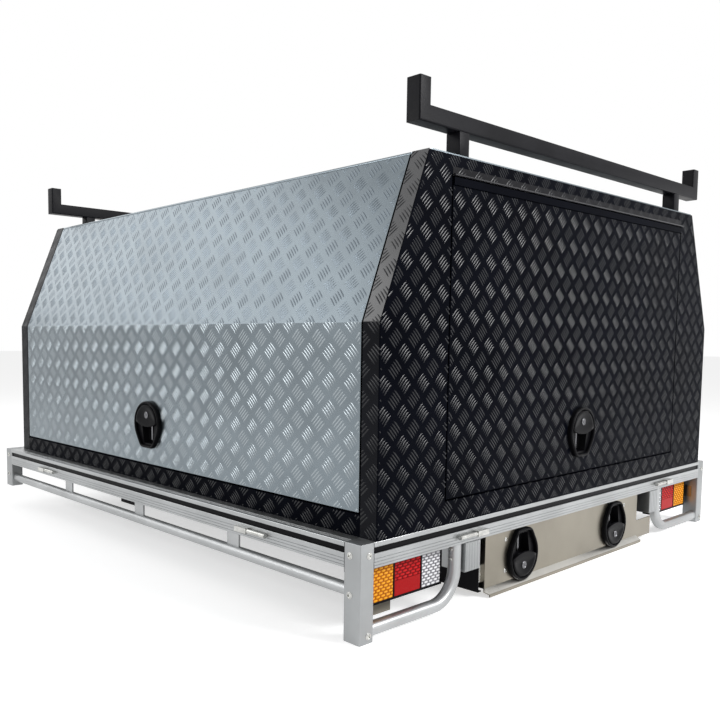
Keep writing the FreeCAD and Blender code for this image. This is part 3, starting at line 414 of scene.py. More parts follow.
def rounded(corners: Outline, radius: float, steps: int = 4) -> Outline:
    """Round the corners of an outline.

    Args:
        corners: The sharp outline.
        radius: The radius wanted, made smaller where an edge is too short for it.
        steps: Edges in each rounded corner.

    Returns:
        The rounded outline.
    """
    result = []
    for index, corner in enumerate(corners):
        here = Vector(corner)
        back, ahead = Vector(corners[index - 1]) - here, Vector(corners[(index + 1) % len(corners)]) - here
        turn = back.angle(ahead)
        reach = min(radius / math.tan(turn / 2), 0.49 * back.length, 0.49 * ahead.length)
        first, last = here + back.normalized() * reach, here + ahead.normalized() * reach
        for step in range(steps + 1):
            share = step / steps
            bow = first.lerp(here, share).lerp(here.lerp(last, share), share)
            result.append((bow.x, bow.y))
    return result


def rectangle(x_low: float, x_high: float, y_low: float, y_high: float) -> Outline:
    """The corners of a rectangle."""
    return [(x_low, y_low), (x_high, y_low), (x_high, y_high), (x_low, y_high)]


def radial(outline: Outline, centre: tuple[float, float], count: int) -> Outline:
    """Points of a convex outline at even angles about a centre, so that different outlines match."""
    corners = np.array(outline) - np.array(centre)
    following = np.roll(corners, -1, axis=0)
    result = []
    for step in range(count):
        angle = 2 * math.pi * step / count
        ray = np.array((math.cos(angle), math.sin(angle)))
        edge = following - corners
        across = ray[0] * edge[:, 1] - ray[1] * edge[:, 0]
        across[np.abs(across) < TINY] = TINY
        reach = (corners[:, 0] * edge[:, 1] - corners[:, 1] * edge[:, 0]) / across
        share = (corners[:, 0] * ray[1] - corners[:, 1] * ray[0]) / across
        hits = reach[(reach > 0) & (share > -SLACK) & (share < 1 + SLACK)]
        result.append(tuple(np.array(centre) + ray * hits.min()))
    return result


class Form:
    """The points and faces of one piece, gathered shape by shape."""

    def __init__(self) -> None:
        """Start empty."""
        self.points: list[Vector] = []
        self.faces: list[tuple[int, ...]] = []

    def loft(self, rings: Sequence[Sequence[Vector]], closed: bool = False) -> "Form":
        """Join rings of equal count in order and cap both ends.

        Args:
            rings: The rings.
            closed: Join the last ring to the first in place of caps.

        Returns:
            This form.
        """
        count, start = len(rings[0]), len(self.points)
        for ring in rings:
            self.points.extend(ring)
        for step in range(len(rings) if closed else len(rings) - 1):
            near = start + step * count
            far = start + (step + 1) % len(rings) * count
            for index in range(count):
                after = (index + 1) % count
                self.faces.append((near + index, near + after, far + after, far + index))
        if not closed:
            last = start + (len(rings) - 1) * count
            self.faces.append(tuple(range(start + count - 1, start - 1, -1)))
            self.faces.append(tuple(range(last, last + count)))
        return self

    def prism(self, outline: Outline, place: Place, low: float, high: float) -> "Form":
        """A straight prism on an outline between two heights over a place."""
        return self.loft([[place.at(x, y, z) for x, y in outline] for z in (low, high)])

    def slab(self, low: Sequence[float], high: Sequence[float], edge: float = 0.001, axis: int = 2,
             corner: float | None = None, steps: int = 3) -> "Form":
        """A block with rounded edges.

        Args:
            low: Its lowest corner.
            high: Its highest corner.
            edge: How far its end faces' edges are rounded.
            axis: The axis that its length lies along.
            corner: The radius of its long edges, or None for the same as edge.
            steps: Edges in each rounding.

        Returns:
            This form.
        """
        first, second = [(1, 2), (2, 0), (0, 1)][axis]
        corner = edge if corner is None else corner
        rings = []
        insets = [edge * (1 - math.sin(math.pi / 2 * s / steps)) for s in range(steps + 1)]
        rises = [edge * (1 - math.cos(math.pi / 2 * s / steps)) for s in range(steps + 1)]
        levels = [(low[axis] + r, i) for r, i in zip(rises, insets)]
        levels += [(high[axis] - r, i) for r, i in zip(reversed(rises), reversed(insets))]
        for level, inset in levels:
            flat = rounded(rectangle(low[first] + inset, high[first] - inset, low[second] + inset,
                                     high[second] - inset), max(corner - inset, 0.0001), steps)
            ring = []
            for one, two in flat:
                point = [0.0, 0.0, 0.0]
                point[first], point[second], point[axis] = one, two, level
                ring.append(Vector(point))
            rings.append(ring)
        return self.loft(rings)

    def lathe(self, profile: Sequence[tuple[float, float]], place: Place, count: int = 24,
              closed: bool = False) -> "Form":
        """Turn a profile of (radius, height) pairs about the place's outward axis."""
        turns = [2 * math.pi * step / count for step in range(count)]
        return self.loft([[place.at(r * math.cos(a), r * math.sin(a), h) for a in turns] for r, h in profile],
                         closed)

    def sweep(self, path: Sequence[Vector], section: Outline, across: Vector, closed: bool = False) -> "Form":
        """Carry a section along a flat path, mitred where the path turns.

        Args:
            path: Its points in order.
            section: Pairs of (along across, away from the path in its plane).
            across: The direction square to the path's plane.
            closed: Join the path's end to its start.

        Returns:
            This form.
        """
        rings = []
        for index, point in enumerate(path):
            before = path[index - 1] if index or closed else None
            after = path[(index + 1) % len(path)] if index + 1 < len(path) or closed else None
            ways = [w.normalized() for w in ((point - before) if before is not None else None,
                                             (after - point) if after is not None else None) if w is not None]
            way = sum(ways, Vector()).normalized()
            widen = 1.0 / max(0.2, way.dot(ways[0]))
            aside = across.cross(way)
            rings.append([point + across * a + aside * (b * widen) for a, b in section])
        return self.loft(rings, closed)

    def piece(self, name: str, body: str, finish: str, replaces: Iterable[str] = (),
              crease: float = 35.0) -> bpy.types.Object:
        """Turn what was gathered into one object of the part.

        Args:
            name: The piece's name.
            body: The CAD body it rides on.
            finish: Its finish.
            replaces: CAD nodes that it stands for.
            crease: Edges that turn by more than this many degrees stay sharp.

        Returns:
            The object.
        """
        mesh = bpy.data.meshes.new(name)
        mesh.from_pydata([tuple(p) for p in self.points], [], self.faces)
        work = bmesh.new()
        work.from_mesh(mesh)
        bmesh.ops.recalc_face_normals(work, faces=work.faces)
        work.to_mesh(mesh)
        work.free()
        return settle(name, mesh, body, finish, replaces, crease)


def settle(name: str, mesh: bpy.types.Mesh, body: str, finish: str, replaces: Iterable[str],
           crease: float) -> bpy.types.Object:
    """Shade a mesh, put it in the scene and hang it on its body.

    Args:
        name: The piece's name.
        mesh: Its mesh, in the part's frame.
        body: The CAD body it rides on.
        finish: Its finish.
        replaces: CAD nodes that it stands for.
        crease: Edges that turn by more than this many degrees stay sharp.

    Returns:
        The object.
    """
    mesh.shade_smooth()
    mesh.set_sharp_from_angle(angle=math.radians(crease))
    mesh.materials.append(PAINTS.material(finish))
    item = bpy.data.objects.new(name, mesh)
    bpy.context.scene.collection.objects.link(item)
    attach(item, body)
    if replaces:
        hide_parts(*replaces)
    LOG.info("%s: %d faces on %s", name, len(mesh.polygons), body)
    return item


# ---------------------------------------------------------------- tread plate


@dataclass(frozen=True)
class Sheet:
    """A flat convex field of tread on the part, less the fields that pieces cover.

    The lattice passes through start and repeats by pitch; one group of bars leans up to the right
    of the sheet's own axes, and the group half a pitch on leans the other way.
    """

    origin: Vector
    right: Vector
    up: Vector
    out: Vector
    outline: Outline
    start: tuple[float, float]
    pitch: tuple[float, float]
    voids: tuple[Outline, ...] = ()


@dataclass(frozen=True)
class Tread:
    """Five-bar tread: groups of raised lens-shaped bars that lean by turns one way and the other."""

    bars: int = 5
    spacing: float = 0.0078
    length: float = 0.034
    width: float = 0.0044
    height: float = 0.0013
    sunk: float = 0.0001
    bow: float = 0.0012
    shortest: float = 0.005
    stations: tuple[float, ...] = (0.0, 0.22, 0.78, 1.0)
    taper: float = 2.6
    tip: float = 0.03
    crease: float = 80.0

    def lattice(self, sheet: Sheet) -> np.ndarray:
        """Lay whole bars out past a sheet's edges.

        Args:
            sheet: The field they lie on.

        Returns:
            Rows of middle x, middle y, way x and way y.
        """
        corners, start, pitch = np.array(sheet.outline), np.array(sheet.start), np.array(sheet.pitch)
        first = np.floor((corners.min(0) - start) / pitch).astype(int) - 1
        last = np.ceil((corners.max(0) - start) / pitch).astype(int) + 1
        grid = np.array([(i, j) for i in range(first[0], last[0] + 1) for j in range(first[1], last[1] + 1)])
        rows = []
        for lean, shift in ((1.0, 0.0), (-1.0, 0.5)):
            way = np.array((1.0, lean)) / math.sqrt(2.0)
            across = np.array((-way[1], way[0]))
            middles = start + (grid + shift) * pitch
            for index in range(self.bars):
                spots = middles + across * ((index - (self.bars - 1) / 2) * self.spacing)
                rows.append(np.column_stack([spots, np.tile(way, (len(spots), 1))]))
        return np.vstack(rows)

    def lines(self, sheet: Sheet) -> np.ndarray:
        """Cut a sheet's bars to its outline and out of its voids.

        Args:
            sheet: The field they lie on.

        Returns:
            The lattice's rows, each with the first and last length along its bar.
        """
        lines = self.lattice(sheet)
        half = np.full(len(lines), self.length / 2)
        lines = np.column_stack([lines, *self.inside(lines, np.array(sheet.outline), -half, half)])
        lines = self.long_enough(lines)
        for void in sheet.voids:
            near, far = self.inside(lines, np.array(void), lines[:, 4], lines[:, 5])
            hit = far > near
            before, after = lines[hit].copy(), lines[hit].copy()
            before[:, 5], after[:, 4] = near[hit], far[hit]
            lines = self.long_enough(np.vstack([lines[~hit], before, after]))
        return lines

    def long_enough(self, lines: np.ndarray) -> np.ndarray:
        """The bars that are worth making."""
        return lines[lines[:, 5] - lines[:, 4] > self.shortest]

    @staticmethod
    def inside(lines: np.ndarray, corners: np.ndarray, near: np.ndarray,
               far: np.ndarray) -> tuple[np.ndarray, np.ndarray]:
        """Clip each line to a convex outline, whichever way round the outline goes."""
        middle = corners.mean(0)
        near, far = near.copy(), far.copy()
        for corner, following in zip(corners, np.roll(corners, -1, axis=0)):
            edge = following - corner
            normal = np.array((-edge[1], edge[0]))
            if normal @ (middle - corner) < 0:
                normal = -normal
            slope = lines[:, 2:4] @ normal
            slope = np.where(np.abs(slope) < TINY, TINY, slope)
            cross = -((lines[:, :2] - corner) @ normal) / slope
            near = np.where(slope > 0, np.maximum(near, cross), near)
            far = np.where(slope < 0, np.minimum(far, cross), far)
        return near, far

    def solids(self, sheet: Sheet, lines: np.ndarray) -> np.ndarray:
        """The points of each bar: three round it, foot, ridge and foot, at each station along it."""
        right, up, out = (np.array(v)[None, :] for v in (sheet.right, sheet.up, sheet.out))
        half = self.length / 2
        shape = []
        for share in self.stations:
            along = lines[:, 4] + (lines[:, 5] - lines[:, 4]) * share
            narrow = np.sqrt(np.clip(1.0 - np.abs(along / half) ** self.taper, self.tip, 1.0))
            bow = self.bow * (1.0 - (along / half) ** 2)
            for side, level in ((-1.0, -self.sunk), (0.0, self.height), (1.0, -self.sunk)):
                wide = side * self.width / 2 * narrow + bow
                x = lines[:, 0] + lines[:, 2] * along - lines[:, 3] * wide
                y = lines[:, 1] + lines[:, 3] * along + lines[:, 2] * wide
                z = level * np.where(level > 0, narrow, 1.0)
                shape.append(np.array(sheet.origin) + x[:, None] * right + y[:, None] * up + z[:, None] * out)
        return np.array(shape).transpose(1, 0, 2)

    def faces(self, sheet: Sheet) -> list[tuple[int, ...]]:
        """The faces of one bar by its own points, turned so that they look outward on this sheet."""
        faces = []
        for near in range(0, 3 * (len(self.stations) - 1), 3):
            far = near + 3
            faces += [(near + a, far + a, far + b, near + b) for a, b in ((0, 1), (1, 2), (2, 0))]
        end = 3 * len(self.stations) - 1
        faces += [(0, 1, 2), (end, end - 1, end - 2)]
        mirrored = sheet.right.cross(sheet.up).dot(sheet.out) < 0
        return [face[::-1] for face in faces] if mirrored else faces

    def cover(self, name: str, sheets: Sequence[Sheet], body: str, finish: str) -> bpy.types.Object:
        """Make the raised bars of one or more sheets as one piece.

        Args:
            name: The piece's name.
            sheets: The fields it covers.
            body: The body that the plate belongs to.
            finish: The plate's finish.

        Returns:
            The object.
        """
        points, loops, sizes, total = [], [], [], 0
        for sheet in sheets:
            lines, faces = self.lines(sheet), self.faces(sheet)
            solids = self.solids(sheet, lines)
            points.append(solids.reshape(-1, 3))
            starts = total + solids.shape[1] * np.arange(len(lines))
            loops.append((starts[:, None] + np.concatenate(faces)[None, :]).ravel())
            sizes.append(np.tile([len(face) for face in faces], len(lines)))
            total += solids.shape[1] * len(lines)
        co, vertices, counts = np.vstack(points), np.concatenate(loops), np.concatenate(sizes)
        mesh = bpy.data.meshes.new(name)
        mesh.vertices.add(len(co))
        mesh.vertices.foreach_set("co", co.astype(np.float32).ravel())
        mesh.loops.add(len(vertices))
        mesh.loops.foreach_set("vertex_index", vertices.astype(np.int32))
        mesh.polygons.add(len(counts))
        mesh.polygons.foreach_set("loop_start", np.concatenate([[0], np.cumsum(counts)[:-1]]).astype(np.int32))
        mesh.update(calc_edges=True)
        return settle(name, mesh, body, finish, (), self.crease)


@dataclass(frozen=True)
class CanopySkins:
    """The tread plate that clads the canopy: kinked sides, closed front, framed rear, roof."""

    side: float = 0.890
    roof_side: float = 0.730
    deck: float = 0.228
    kink: float = 0.716
    roof: float = 1.113
    rear: float = -0.958
    front: float = 0.922
    margin: float = 0.0022
    side_start: tuple[float, float] = (-0.872, -0.137)
    side_pitch: tuple[float, float] = (0.0706, 0.0668)
    rear_start: tuple[float, float] = (-0.738, 0.855)
    door_start: tuple[float, float] = (-0.611, 0.869)
    rear_pitch: tuple[float, float] = (0.0675, 0.0695)
    jamb: float = 0.646
    door_gap: float = 0.005
    latch_cover: float = 0.005
    hinge_gap: float = 0.0087
    hinge_leaf: float = 0.020
    roof_hem: float = 0.010
    end_hem: float = 0.003
    tread: Tread = Tread()

    @property
    def slope(self) -> float:
        """How long the sloping part of a side is, along the plate."""
        return math.hypot(self.side - self.roof_side, self.roof - self.kink)

    def side_sheets(self, side: Side, y_range: tuple[float, float], v_range: tuple[float, float],
                    voids: tuple[Outline, ...] = ()) -> list[Sheet]:
        """The lower and the sloping field of one side between two places along it.

        Args:
            side: Which side.
            y_range: Where the plate starts and ends along Y.
            v_range: How far it reaches below and above the kink, along the plate.
            voids: Fields on the lower part that pieces cover.

        Returns:
            One sheet, or two where the plate passes the kink.
        """
        run, rise = (self.side - self.roof_side) / self.slope, (self.roof - self.kink) / self.slope
        low, high = y_range[0] + self.margin, y_range[1] - self.margin
        origin = Vector((side.value * self.side, 0.0, self.kink))
        foot, head = v_range[0] + self.margin, v_range[1] - self.margin
        sheets = [Sheet(origin, Y, Z, X * side.value, rectangle(low, high, foot, min(head, 0.0)), self.side_start,
                        self.side_pitch, voids)]
        if v_range[1] > 0:
            up, out = Vector((-side.value * run, 0.0, rise)), Vector((side.value * rise, 0.0, run))
            sheets.append(Sheet(origin, Y, up, out, rectangle(low, high, 0.0, head), self.side_start,
                                self.side_pitch))
        return sheets

    def end_outline(self) -> Outline:
        """The six corners of the canopy's end, inside its edges."""
        side, top = self.side - self.margin, self.roof - self.margin - self.end_hem
        return [(-side, self.deck + self.margin), (side, self.deck + self.margin), (side, self.kink),
                (self.roof_side - self.margin, top), (-self.roof_side + self.margin, top), (-side, self.kink)]

    def latch_void(self, x: float, y: float) -> Outline:
        """The field that a latch covers, about a place on its sheet."""
        return [(a + x, b + y) for a, b in Latch().outline(self.latch_cover)]

    def build(self) -> None:
        """Make the bars of every plate and give the plates their finish."""
        for side in Side:
            self.build_side(side)
        self.build_ends()
        edge = self.roof_side - self.roof_hem - self.margin
        field = rectangle(-edge, edge, self.rear + self.margin, self.front - self.margin)
        roof = Sheet(Z * self.roof, X, Y, Z, field, (self.rear_start[0], 0.0), self.rear_pitch)
        # The roof's bars take the lighter copy of the silver tread, a painted highlight.
        self.tread.cover("roof_tread", [roof], TRAY, "silver_bar_highlight")
        PAINTS.coat_node("canopy_roof", "silver")

    def build_side(self, side: Side) -> None:
        """Clad one side: its door, its two corner strips and its sill."""
        door = f"side_door_{side.word}"
        low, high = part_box(door)
        latch = sum(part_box(f"latch_bezel_side_{side.word}"), Vector()) / 2
        sheets = self.side_sheets(side, (low.y, high.y), (low.z - self.kink, self.slope - self.hinge_gap),
                                  (self.latch_void(latch.y, latch.z - self.kink),))
        # The lower bars take the lighter copy of the silver tread, a painted highlight, and the sloping bars take
        # the darker copy, a painted shade.
        for label, sheet, finish in zip(("lower", "slope"), sheets, ("silver_bar_highlight", "slope_bar_shade")):
            self.tread.cover(f"{door}_{label}_tread", [sheet], door, finish)
        PAINTS.coat_node(door, "silver")
        strips = []
        # The pillars take the lighter copies of the black tread, which are painted reflections; the rear ones also
        # have a clear coat on their slope.
        for end, finish, y_range in (("rear", "rear_strip_reflection", (self.rear, low.y - self.door_gap)),
                                     ("front", "strip", (high.y + self.door_gap, self.front))):
            strips += self.side_sheets(side, y_range, (self.deck - self.kink, self.slope))
            PAINTS.coat_node(f"pillar_{end}_{side.word}", finish)
        low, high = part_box(f"side_sill_{side.word}")
        strips += self.side_sheets(side, (low.y, high.y), (low.z - self.kink, high.z - self.kink))
        PAINTS.coat_node(f"side_sill_{side.word}", "black")
        self.tread.cover(f"corner_tread_{side.word}", strips, TRAY, "black_bar_highlight")

    def build_ends(self) -> None:
        """Clad the front wall, the rear wall round its door, and the rear door."""
        low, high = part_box("rear_door")
        hole = rectangle(-self.jamb, self.jamb, low.z - self.door_gap,
                         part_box("rear_door_hinge")[0].z + RainStrip().height)
        latch = sum(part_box("latch_bezel_rear"), Vector()) / 2
        leaf = rectangle(low.x + self.margin, high.x - self.margin, low.z + self.margin, high.z - self.hinge_leaf)
        front = Sheet(Y * self.front, X, Z, Y, self.end_outline(), self.rear_start, self.rear_pitch)
        rear = Sheet(Y * self.rear, X, Z, -Y, self.end_outline(), self.rear_start, self.rear_pitch, (hole,))
        door = Sheet(Y * self.rear, X, Z, -Y, leaf, self.door_start, self.rear_pitch,
                     (self.latch_void(0.0, latch.z),))
        for node, body, sheet in (("front_wall", TRAY, front), ("rear_wall", TRAY, rear),
                                  ("rear_door", "rear_door", door)):
            self.tread.cover(f"{node}_tread", [sheet], body, "black_bar_highlight")
            PAINTS.coat_node(node, "black")


# ---------------------------------------------------------------- latches


@dataclass(frozen=True)
class Latch:
    """A flush latch: an egg-shaped bezel with a finger recess, and a paddle on a pin at its wide end.

    The sections of the lip, the recess and the paddle are pairs of how far a ring is drawn in and how
    far it lies under the top, or over the floor, that the field's name gives.
    """

    width: float = 0.140
    height: float = 0.146
    corner: float = 0.026
    narrow: float = 0.092
    proud: float = 0.014
    rim: float = 0.008
    depth: float = 0.022
    collar: float = 0.010
    lip_under_top: Outline = ((0.0, 0.005), (0.0004, 0.003), (0.0014, 0.0012), (0.003, 0.0002), (0.0045, 0.0),
                              (0.006, 0.0003), (0.0075, 0.002), (0.008, 0.004))
    well_floor: float = 0.004
    recess_floor: float = -0.019
    recess_over_floor: Outline = ((0.001, 0.004), (0.003, 0.0008), (0.006, 0.0))
    recess_top: float = 0.006
    recess_margin: float = 0.014
    recess_wide: float = 0.074
    recess_narrow: float = 0.052
    recess_centre: tuple[float, float] = (0.0, -0.026)
    catch_half: float = 0.0035
    catch_ends: tuple[float, float] = (-0.050, -0.004)
    catch_rise: float = 0.009
    rivet_spots: Outline = ((-0.014, -0.034), (0.014, -0.034))
    rivet: Outline = ((0.0001, -0.001), (0.0030, -0.001), (0.0030, 0.0010), (0.0018, 0.0020), (0.0001, 0.0022))
    paddle_gap: float = 0.003
    paddle: float = 0.007
    paddle_edge: float = 0.002
    paddle_bulge: float = 0.014
    paddle_under_top: Outline = ((0.0, 0.002), (0.0006, 0.0008), (0.002, 0.0), (0.006, 0.0), (0.010, 0.0006),
                                 (0.016, 0.0020), (0.024, 0.0030))
    paddle_centre: tuple[float, float] = (0.0, 0.028)
    pin_rise: float = 0.059
    pin_radius: float = 0.002
    pin_seat: float = 0.002
    lock_rise: float = 0.030
    lock_sunk: float = 0.0036
    lock: Outline = ((0.0001, -0.001), (0.0105, -0.001), (0.0105, 0.0018), (0.0098, 0.0026), (0.0086, 0.0028),
                     (0.0078, 0.0022), (0.0074, 0.0016), (0.0001, 0.0016))
    keyway: tuple[float, float] = (0.0009, 0.0040)
    arc_steps: tuple[int, int] = (40, 8)
    recess_corner: float = 0.010
    catch_corner: float = 0.003
    edge: float = 0.0005
    count: int = 96

    def outline(self, inset: float) -> Outline:
        """The egg outline, drawn in by an inset: one wide arc and two small corners."""
        wide, tight = self.width / 2 - inset, max(self.corner - inset, self.edge)
        wide_y = self.height / 2 - self.width / 2
        narrow_x, narrow_y = self.narrow / 2 - self.corner, -self.height / 2 + self.corner
        rise = wide_y - narrow_y
        lean = math.asin((wide - tight) / math.hypot(narrow_x, rise)) - math.atan2(narrow_x, rise)
        many, few = self.arc_steps
        arcs = [((0.0, wide_y), wide, -lean, math.pi + lean, many),
                ((-narrow_x, narrow_y), tight, math.pi + lean, 1.5 * math.pi, few),
                ((narrow_x, narrow_y), tight, -0.5 * math.pi, -lean, few)]
        points = []
        for (x, y), radius, start, end, steps in arcs:
            for step in range(steps + 1):
                angle = start + (end - start) * step / steps
                points.append((x + radius * math.cos(angle), y + radius * math.sin(angle)))
        return points

    def recess(self, inset: float) -> Outline:
        """The finger recess's outline, drawn in by an inset."""
        foot = -self.height / 2 + self.recess_margin + inset
        top, wide, narrow = self.recess_top - inset, self.recess_wide / 2 - inset, self.recess_narrow / 2 - inset
        return rounded([(wide, top), (-wide, top), (-narrow, foot), (narrow, foot)], self.recess_corner - inset, 5)

    def blade(self, inset: float) -> Outline:
        """The paddle's outline, drawn in by an inset: the wide end of the egg and a bulging free edge."""
        egg = [p for p in self.outline(self.rim + self.paddle_gap + inset) if p[1] > self.paddle_edge + inset]
        half, level = egg[0]
        for step in range(1, 24):
            share = step / 12 - 1
            egg.append((half * share, level - (self.paddle_bulge - inset * 0.5) * (1 - share ** 2)))
        return egg

    def ring(self, place: Place, outline: Outline, centre: tuple[float, float], level: float) -> list[Vector]:
        """One ring of points at even angles on an outline, at a level over a place."""
        return [place.at(x, y, level) for x, y in radial(outline, centre, self.count)]

    def build_bezel(self, label: str, body: str, place: Place) -> None:
        """Make the bezel with its well, recess and pin, and the catch bar and rivets in the recess.

        Args:
            label: Which latch it is.
            body: The body it is fixed to.
            place: Where it sits.
        """
        lip = [(inset, self.proud - fall) for inset, fall in self.lip_under_top]
        rings = [self.ring(place, self.outline(inset), self.recess_centre, z) for inset, z in
                 [(self.collar, -self.depth), (self.collar, 0.0), (0.0, 0.0), *lip, (self.rim, self.well_floor)]]
        foot = [(inset, self.recess_floor + rise) for inset, rise in self.recess_over_floor]
        rings += [self.ring(place, self.recess(inset), self.recess_centre, z) for inset, z in
                  [(0.0, self.well_floor), (self.edge, self.well_floor - 2 * self.edge), *foot]]
        form = Form().loft(rings)
        half = math.sqrt((self.width / 2 - self.rim) ** 2 - (self.pin_rise - self.paddle_gap) ** 2) + self.pin_seat
        end = Place(place.at(-half, self.pin_rise, self.proud - self.paddle / 2), place.up, place.out, place.right)
        form.lathe([(self.pin_radius, 0.0), (self.pin_radius, 2 * half)], end, 16)
        form.piece(f"latch_{label}_bezel", body, "plastic", [f"latch_bezel_{label}"], crease=40.0)
        bar = rounded(rectangle(-self.catch_half, self.catch_half, *self.catch_ends), self.catch_corner, 3)
        form = Form().prism(bar, place, self.recess_floor - self.edge, self.recess_floor + self.catch_rise)
        for x, y in self.rivet_spots:
            form.lathe(self.rivet, place.shifted(x, y, self.recess_floor), 16)
        form.piece(f"latch_{label}_catch", body, "gloss", crease=40.0)

    def build_paddle(self, label: str, place: Place) -> None:
        """Make the paddle with its dished face, and its lock barrel.

        Args:
            label: Which latch it is.
            place: Where it sits.
        """
        low = self.proud - self.paddle
        face = [(inset, self.proud - fall) for inset, fall in self.paddle_under_top]
        rings = [self.ring(place, self.blade(inset), self.paddle_centre, z) for inset, z in
                 [(self.edge, low), (0.0, low + 0.0008), *face]]
        body = f"latch_{label}"
        Form().loft(rings).piece(f"{body}_paddle", body, "plastic", [f"latch_paddle_{label}"], crease=50.0)
        seat = place.shifted(0.0, self.lock_rise, self.proud - self.lock_sunk)
        wide, tall = self.keyway
        form = Form().lathe(self.lock, seat, 32)
        form.prism(rounded(rectangle(-wide, wide, -tall, tall), 0.0008, 2), seat, 0.0010, 0.0022)
        form.piece(f"{body}_lock", body, "gloss", crease=40.0)

    def build(self) -> None:
        """Make all five latches where the CAD has them."""
        spots = {
            "side_left": ("side_door_left", -Y, Z, -X), "side_right": ("side_door_right", Y, Z, X),
            "rear": ("rear_door", X, Z, -Y), "drawer_left": ("drawer", -X, -Z, -Y),
            "drawer_right": ("drawer", -X, -Z, -Y),
        }
        for label, (body, right, up, out) in spots.items():
            low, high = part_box(f"latch_bezel_{label}")
            middle = (low + high) / 2
            face = max(low.dot(out), high.dot(out)) - self.proud
            place = Place(middle - out * middle.dot(out) + out * face, right, up, out)
            self.build_bezel(label, body, place)
            self.build_paddle(label, place)


# ---------------------------------------------------------------- tray


@dataclass(frozen=True)
class EdgeRail:
    """The coaming: a grooved rail with a slot along its face and a flange that laps the deck."""

    height: float = 0.060
    flange: float = 0.075
    flange_thickness: float = 0.005
    box: float = 0.030
    edge: Outline = ((0.0, 0.0015), (0.0006, 0.0005), (0.0018, 0.0))
    slot_top: float = 0.012
    slot_height: float = 0.014
    slot_depth: float = 0.027
    slot_edge: float = 0.0008
    lip: float = 0.0030
    under_slot: float = 0.0060
    over_slot: float = 0.0040
    # A black strip set deep in the slot stands in for the shadow inside it: a painted shadow.
    shade_strip: tuple[float, float] = (0.0045, 0.0075)
    shade_strip_gap: float = 0.0005
    groove: float = 0.0012
    groove_width: float = 0.0016
    groove_floor: float = 0.0003
    top_groove_depth: float = 0.7
    top_grooves: tuple[float, ...] = (0.010, 0.016, 0.022)
    face_grooves: tuple[float, ...] = (0.007, 0.0145, 0.022)
    shoulder: float = 0.0001

    def profile(self, top: float, reach: float) -> Outline:
        """The rail's section as (inward, height) pairs.

        Args:
            top: The height of the deck.
            reach: How far its flange goes inward.

        Returns:
            The closed outline.
        """
        foot, half = top - self.height, self.groove_width / 2
        slot_foot = top - self.slot_top - self.slot_height
        slot_head = slot_foot + self.slot_height
        points = [(inward, top - fall) for inward, fall in self.edge]
        for middle in self.top_grooves:
            points += [(middle - half, top), (middle, top - self.groove * self.top_groove_depth),
                       (middle + half, top)]
        points += [(reach, top), (reach, top - self.flange_thickness), (self.box, top - self.flange_thickness),
                   (self.box, foot)]
        points += [(inward, foot + rise) for inward, rise in reversed(self.edge)]
        for rise in self.face_grooves:
            middle = foot + rise
            points += [(0.0, middle - half), (self.groove, middle - self.groove_floor),
                       (self.groove, middle + self.groove_floor), (0.0, middle + half)]
        points += [(0.0, slot_foot - self.slot_edge), (self.slot_edge, slot_foot), (self.lip, slot_foot),
                   (self.lip, slot_foot - self.under_slot), (self.slot_depth, slot_foot - self.under_slot),
                   (self.slot_depth, slot_head + self.over_slot), (self.lip, slot_head + self.over_slot),
                   (self.lip, slot_head), (self.slot_edge, slot_head), (0.0, slot_head + self.slot_edge)]
        return points

    def slot_shade_strip(self, top: float) -> Outline:
        """The section of the black strip inside the slot, a painted shadow, as (inward, height) pairs."""
        foot = top - self.slot_top - self.slot_height
        return rectangle(*self.shade_strip, foot - self.under_slot + self.shade_strip_gap,
                         foot + self.slot_height + self.over_slot - self.shade_strip_gap)

    def build(self) -> None:
        """Make the four rails and the black strip in their slots that paints the slots' shadow."""
        shade_strip = Form()
        for side in Side:
            low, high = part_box(f"coaming_{side.word}")
            edge, ends = (low.x if side is Side.LEFT else high.x), (low.y, high.y)
            section = self.profile(high.z, self.flange)
            rings = [[Vector((edge - side.value * a, y, z)) for a, z in section] for y in ends]
            Form().loft(rings).piece(f"edge_rail_{side.word}", TRAY, "rail_y", [f"coaming_{side.word}"], crease=25.0)
            shade_strip.loft([[Vector((edge - side.value * a, y, z)) for a, z in self.slot_shade_strip(high.z)] for y in ends])
        cut = abs(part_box("coaming_left")[1].x)
        low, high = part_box("corner_post_rear_left")
        short = abs(high.y - low.y)
        for word, inward in (("rear", 1.0), ("front", -1.0)):
            low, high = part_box(f"coaming_{word}")
            edge = low.y if inward > 0 else high.y
            rings = []
            for x, reach in ((low.x, short), (-cut, short), (-cut + self.shoulder, self.flange),
                             (cut - self.shoulder, self.flange), (cut, short), (high.x, short)):
                rings.append([Vector((x, edge + inward * a, z)) for a, z in self.profile(high.z, reach)])
            Form().loft(rings).piece(f"edge_rail_{word}", TRAY, "rail_x", [f"coaming_{word}"], crease=25.0)
            shade_strip.loft([[Vector((x, edge + inward * a, z)) for a, z in self.slot_shade_strip(high.z)]
                        for x in (low.x, high.x)])
        shade_strip.piece("edge_rail_slot_shade", TRAY, "plastic", crease=30.0)


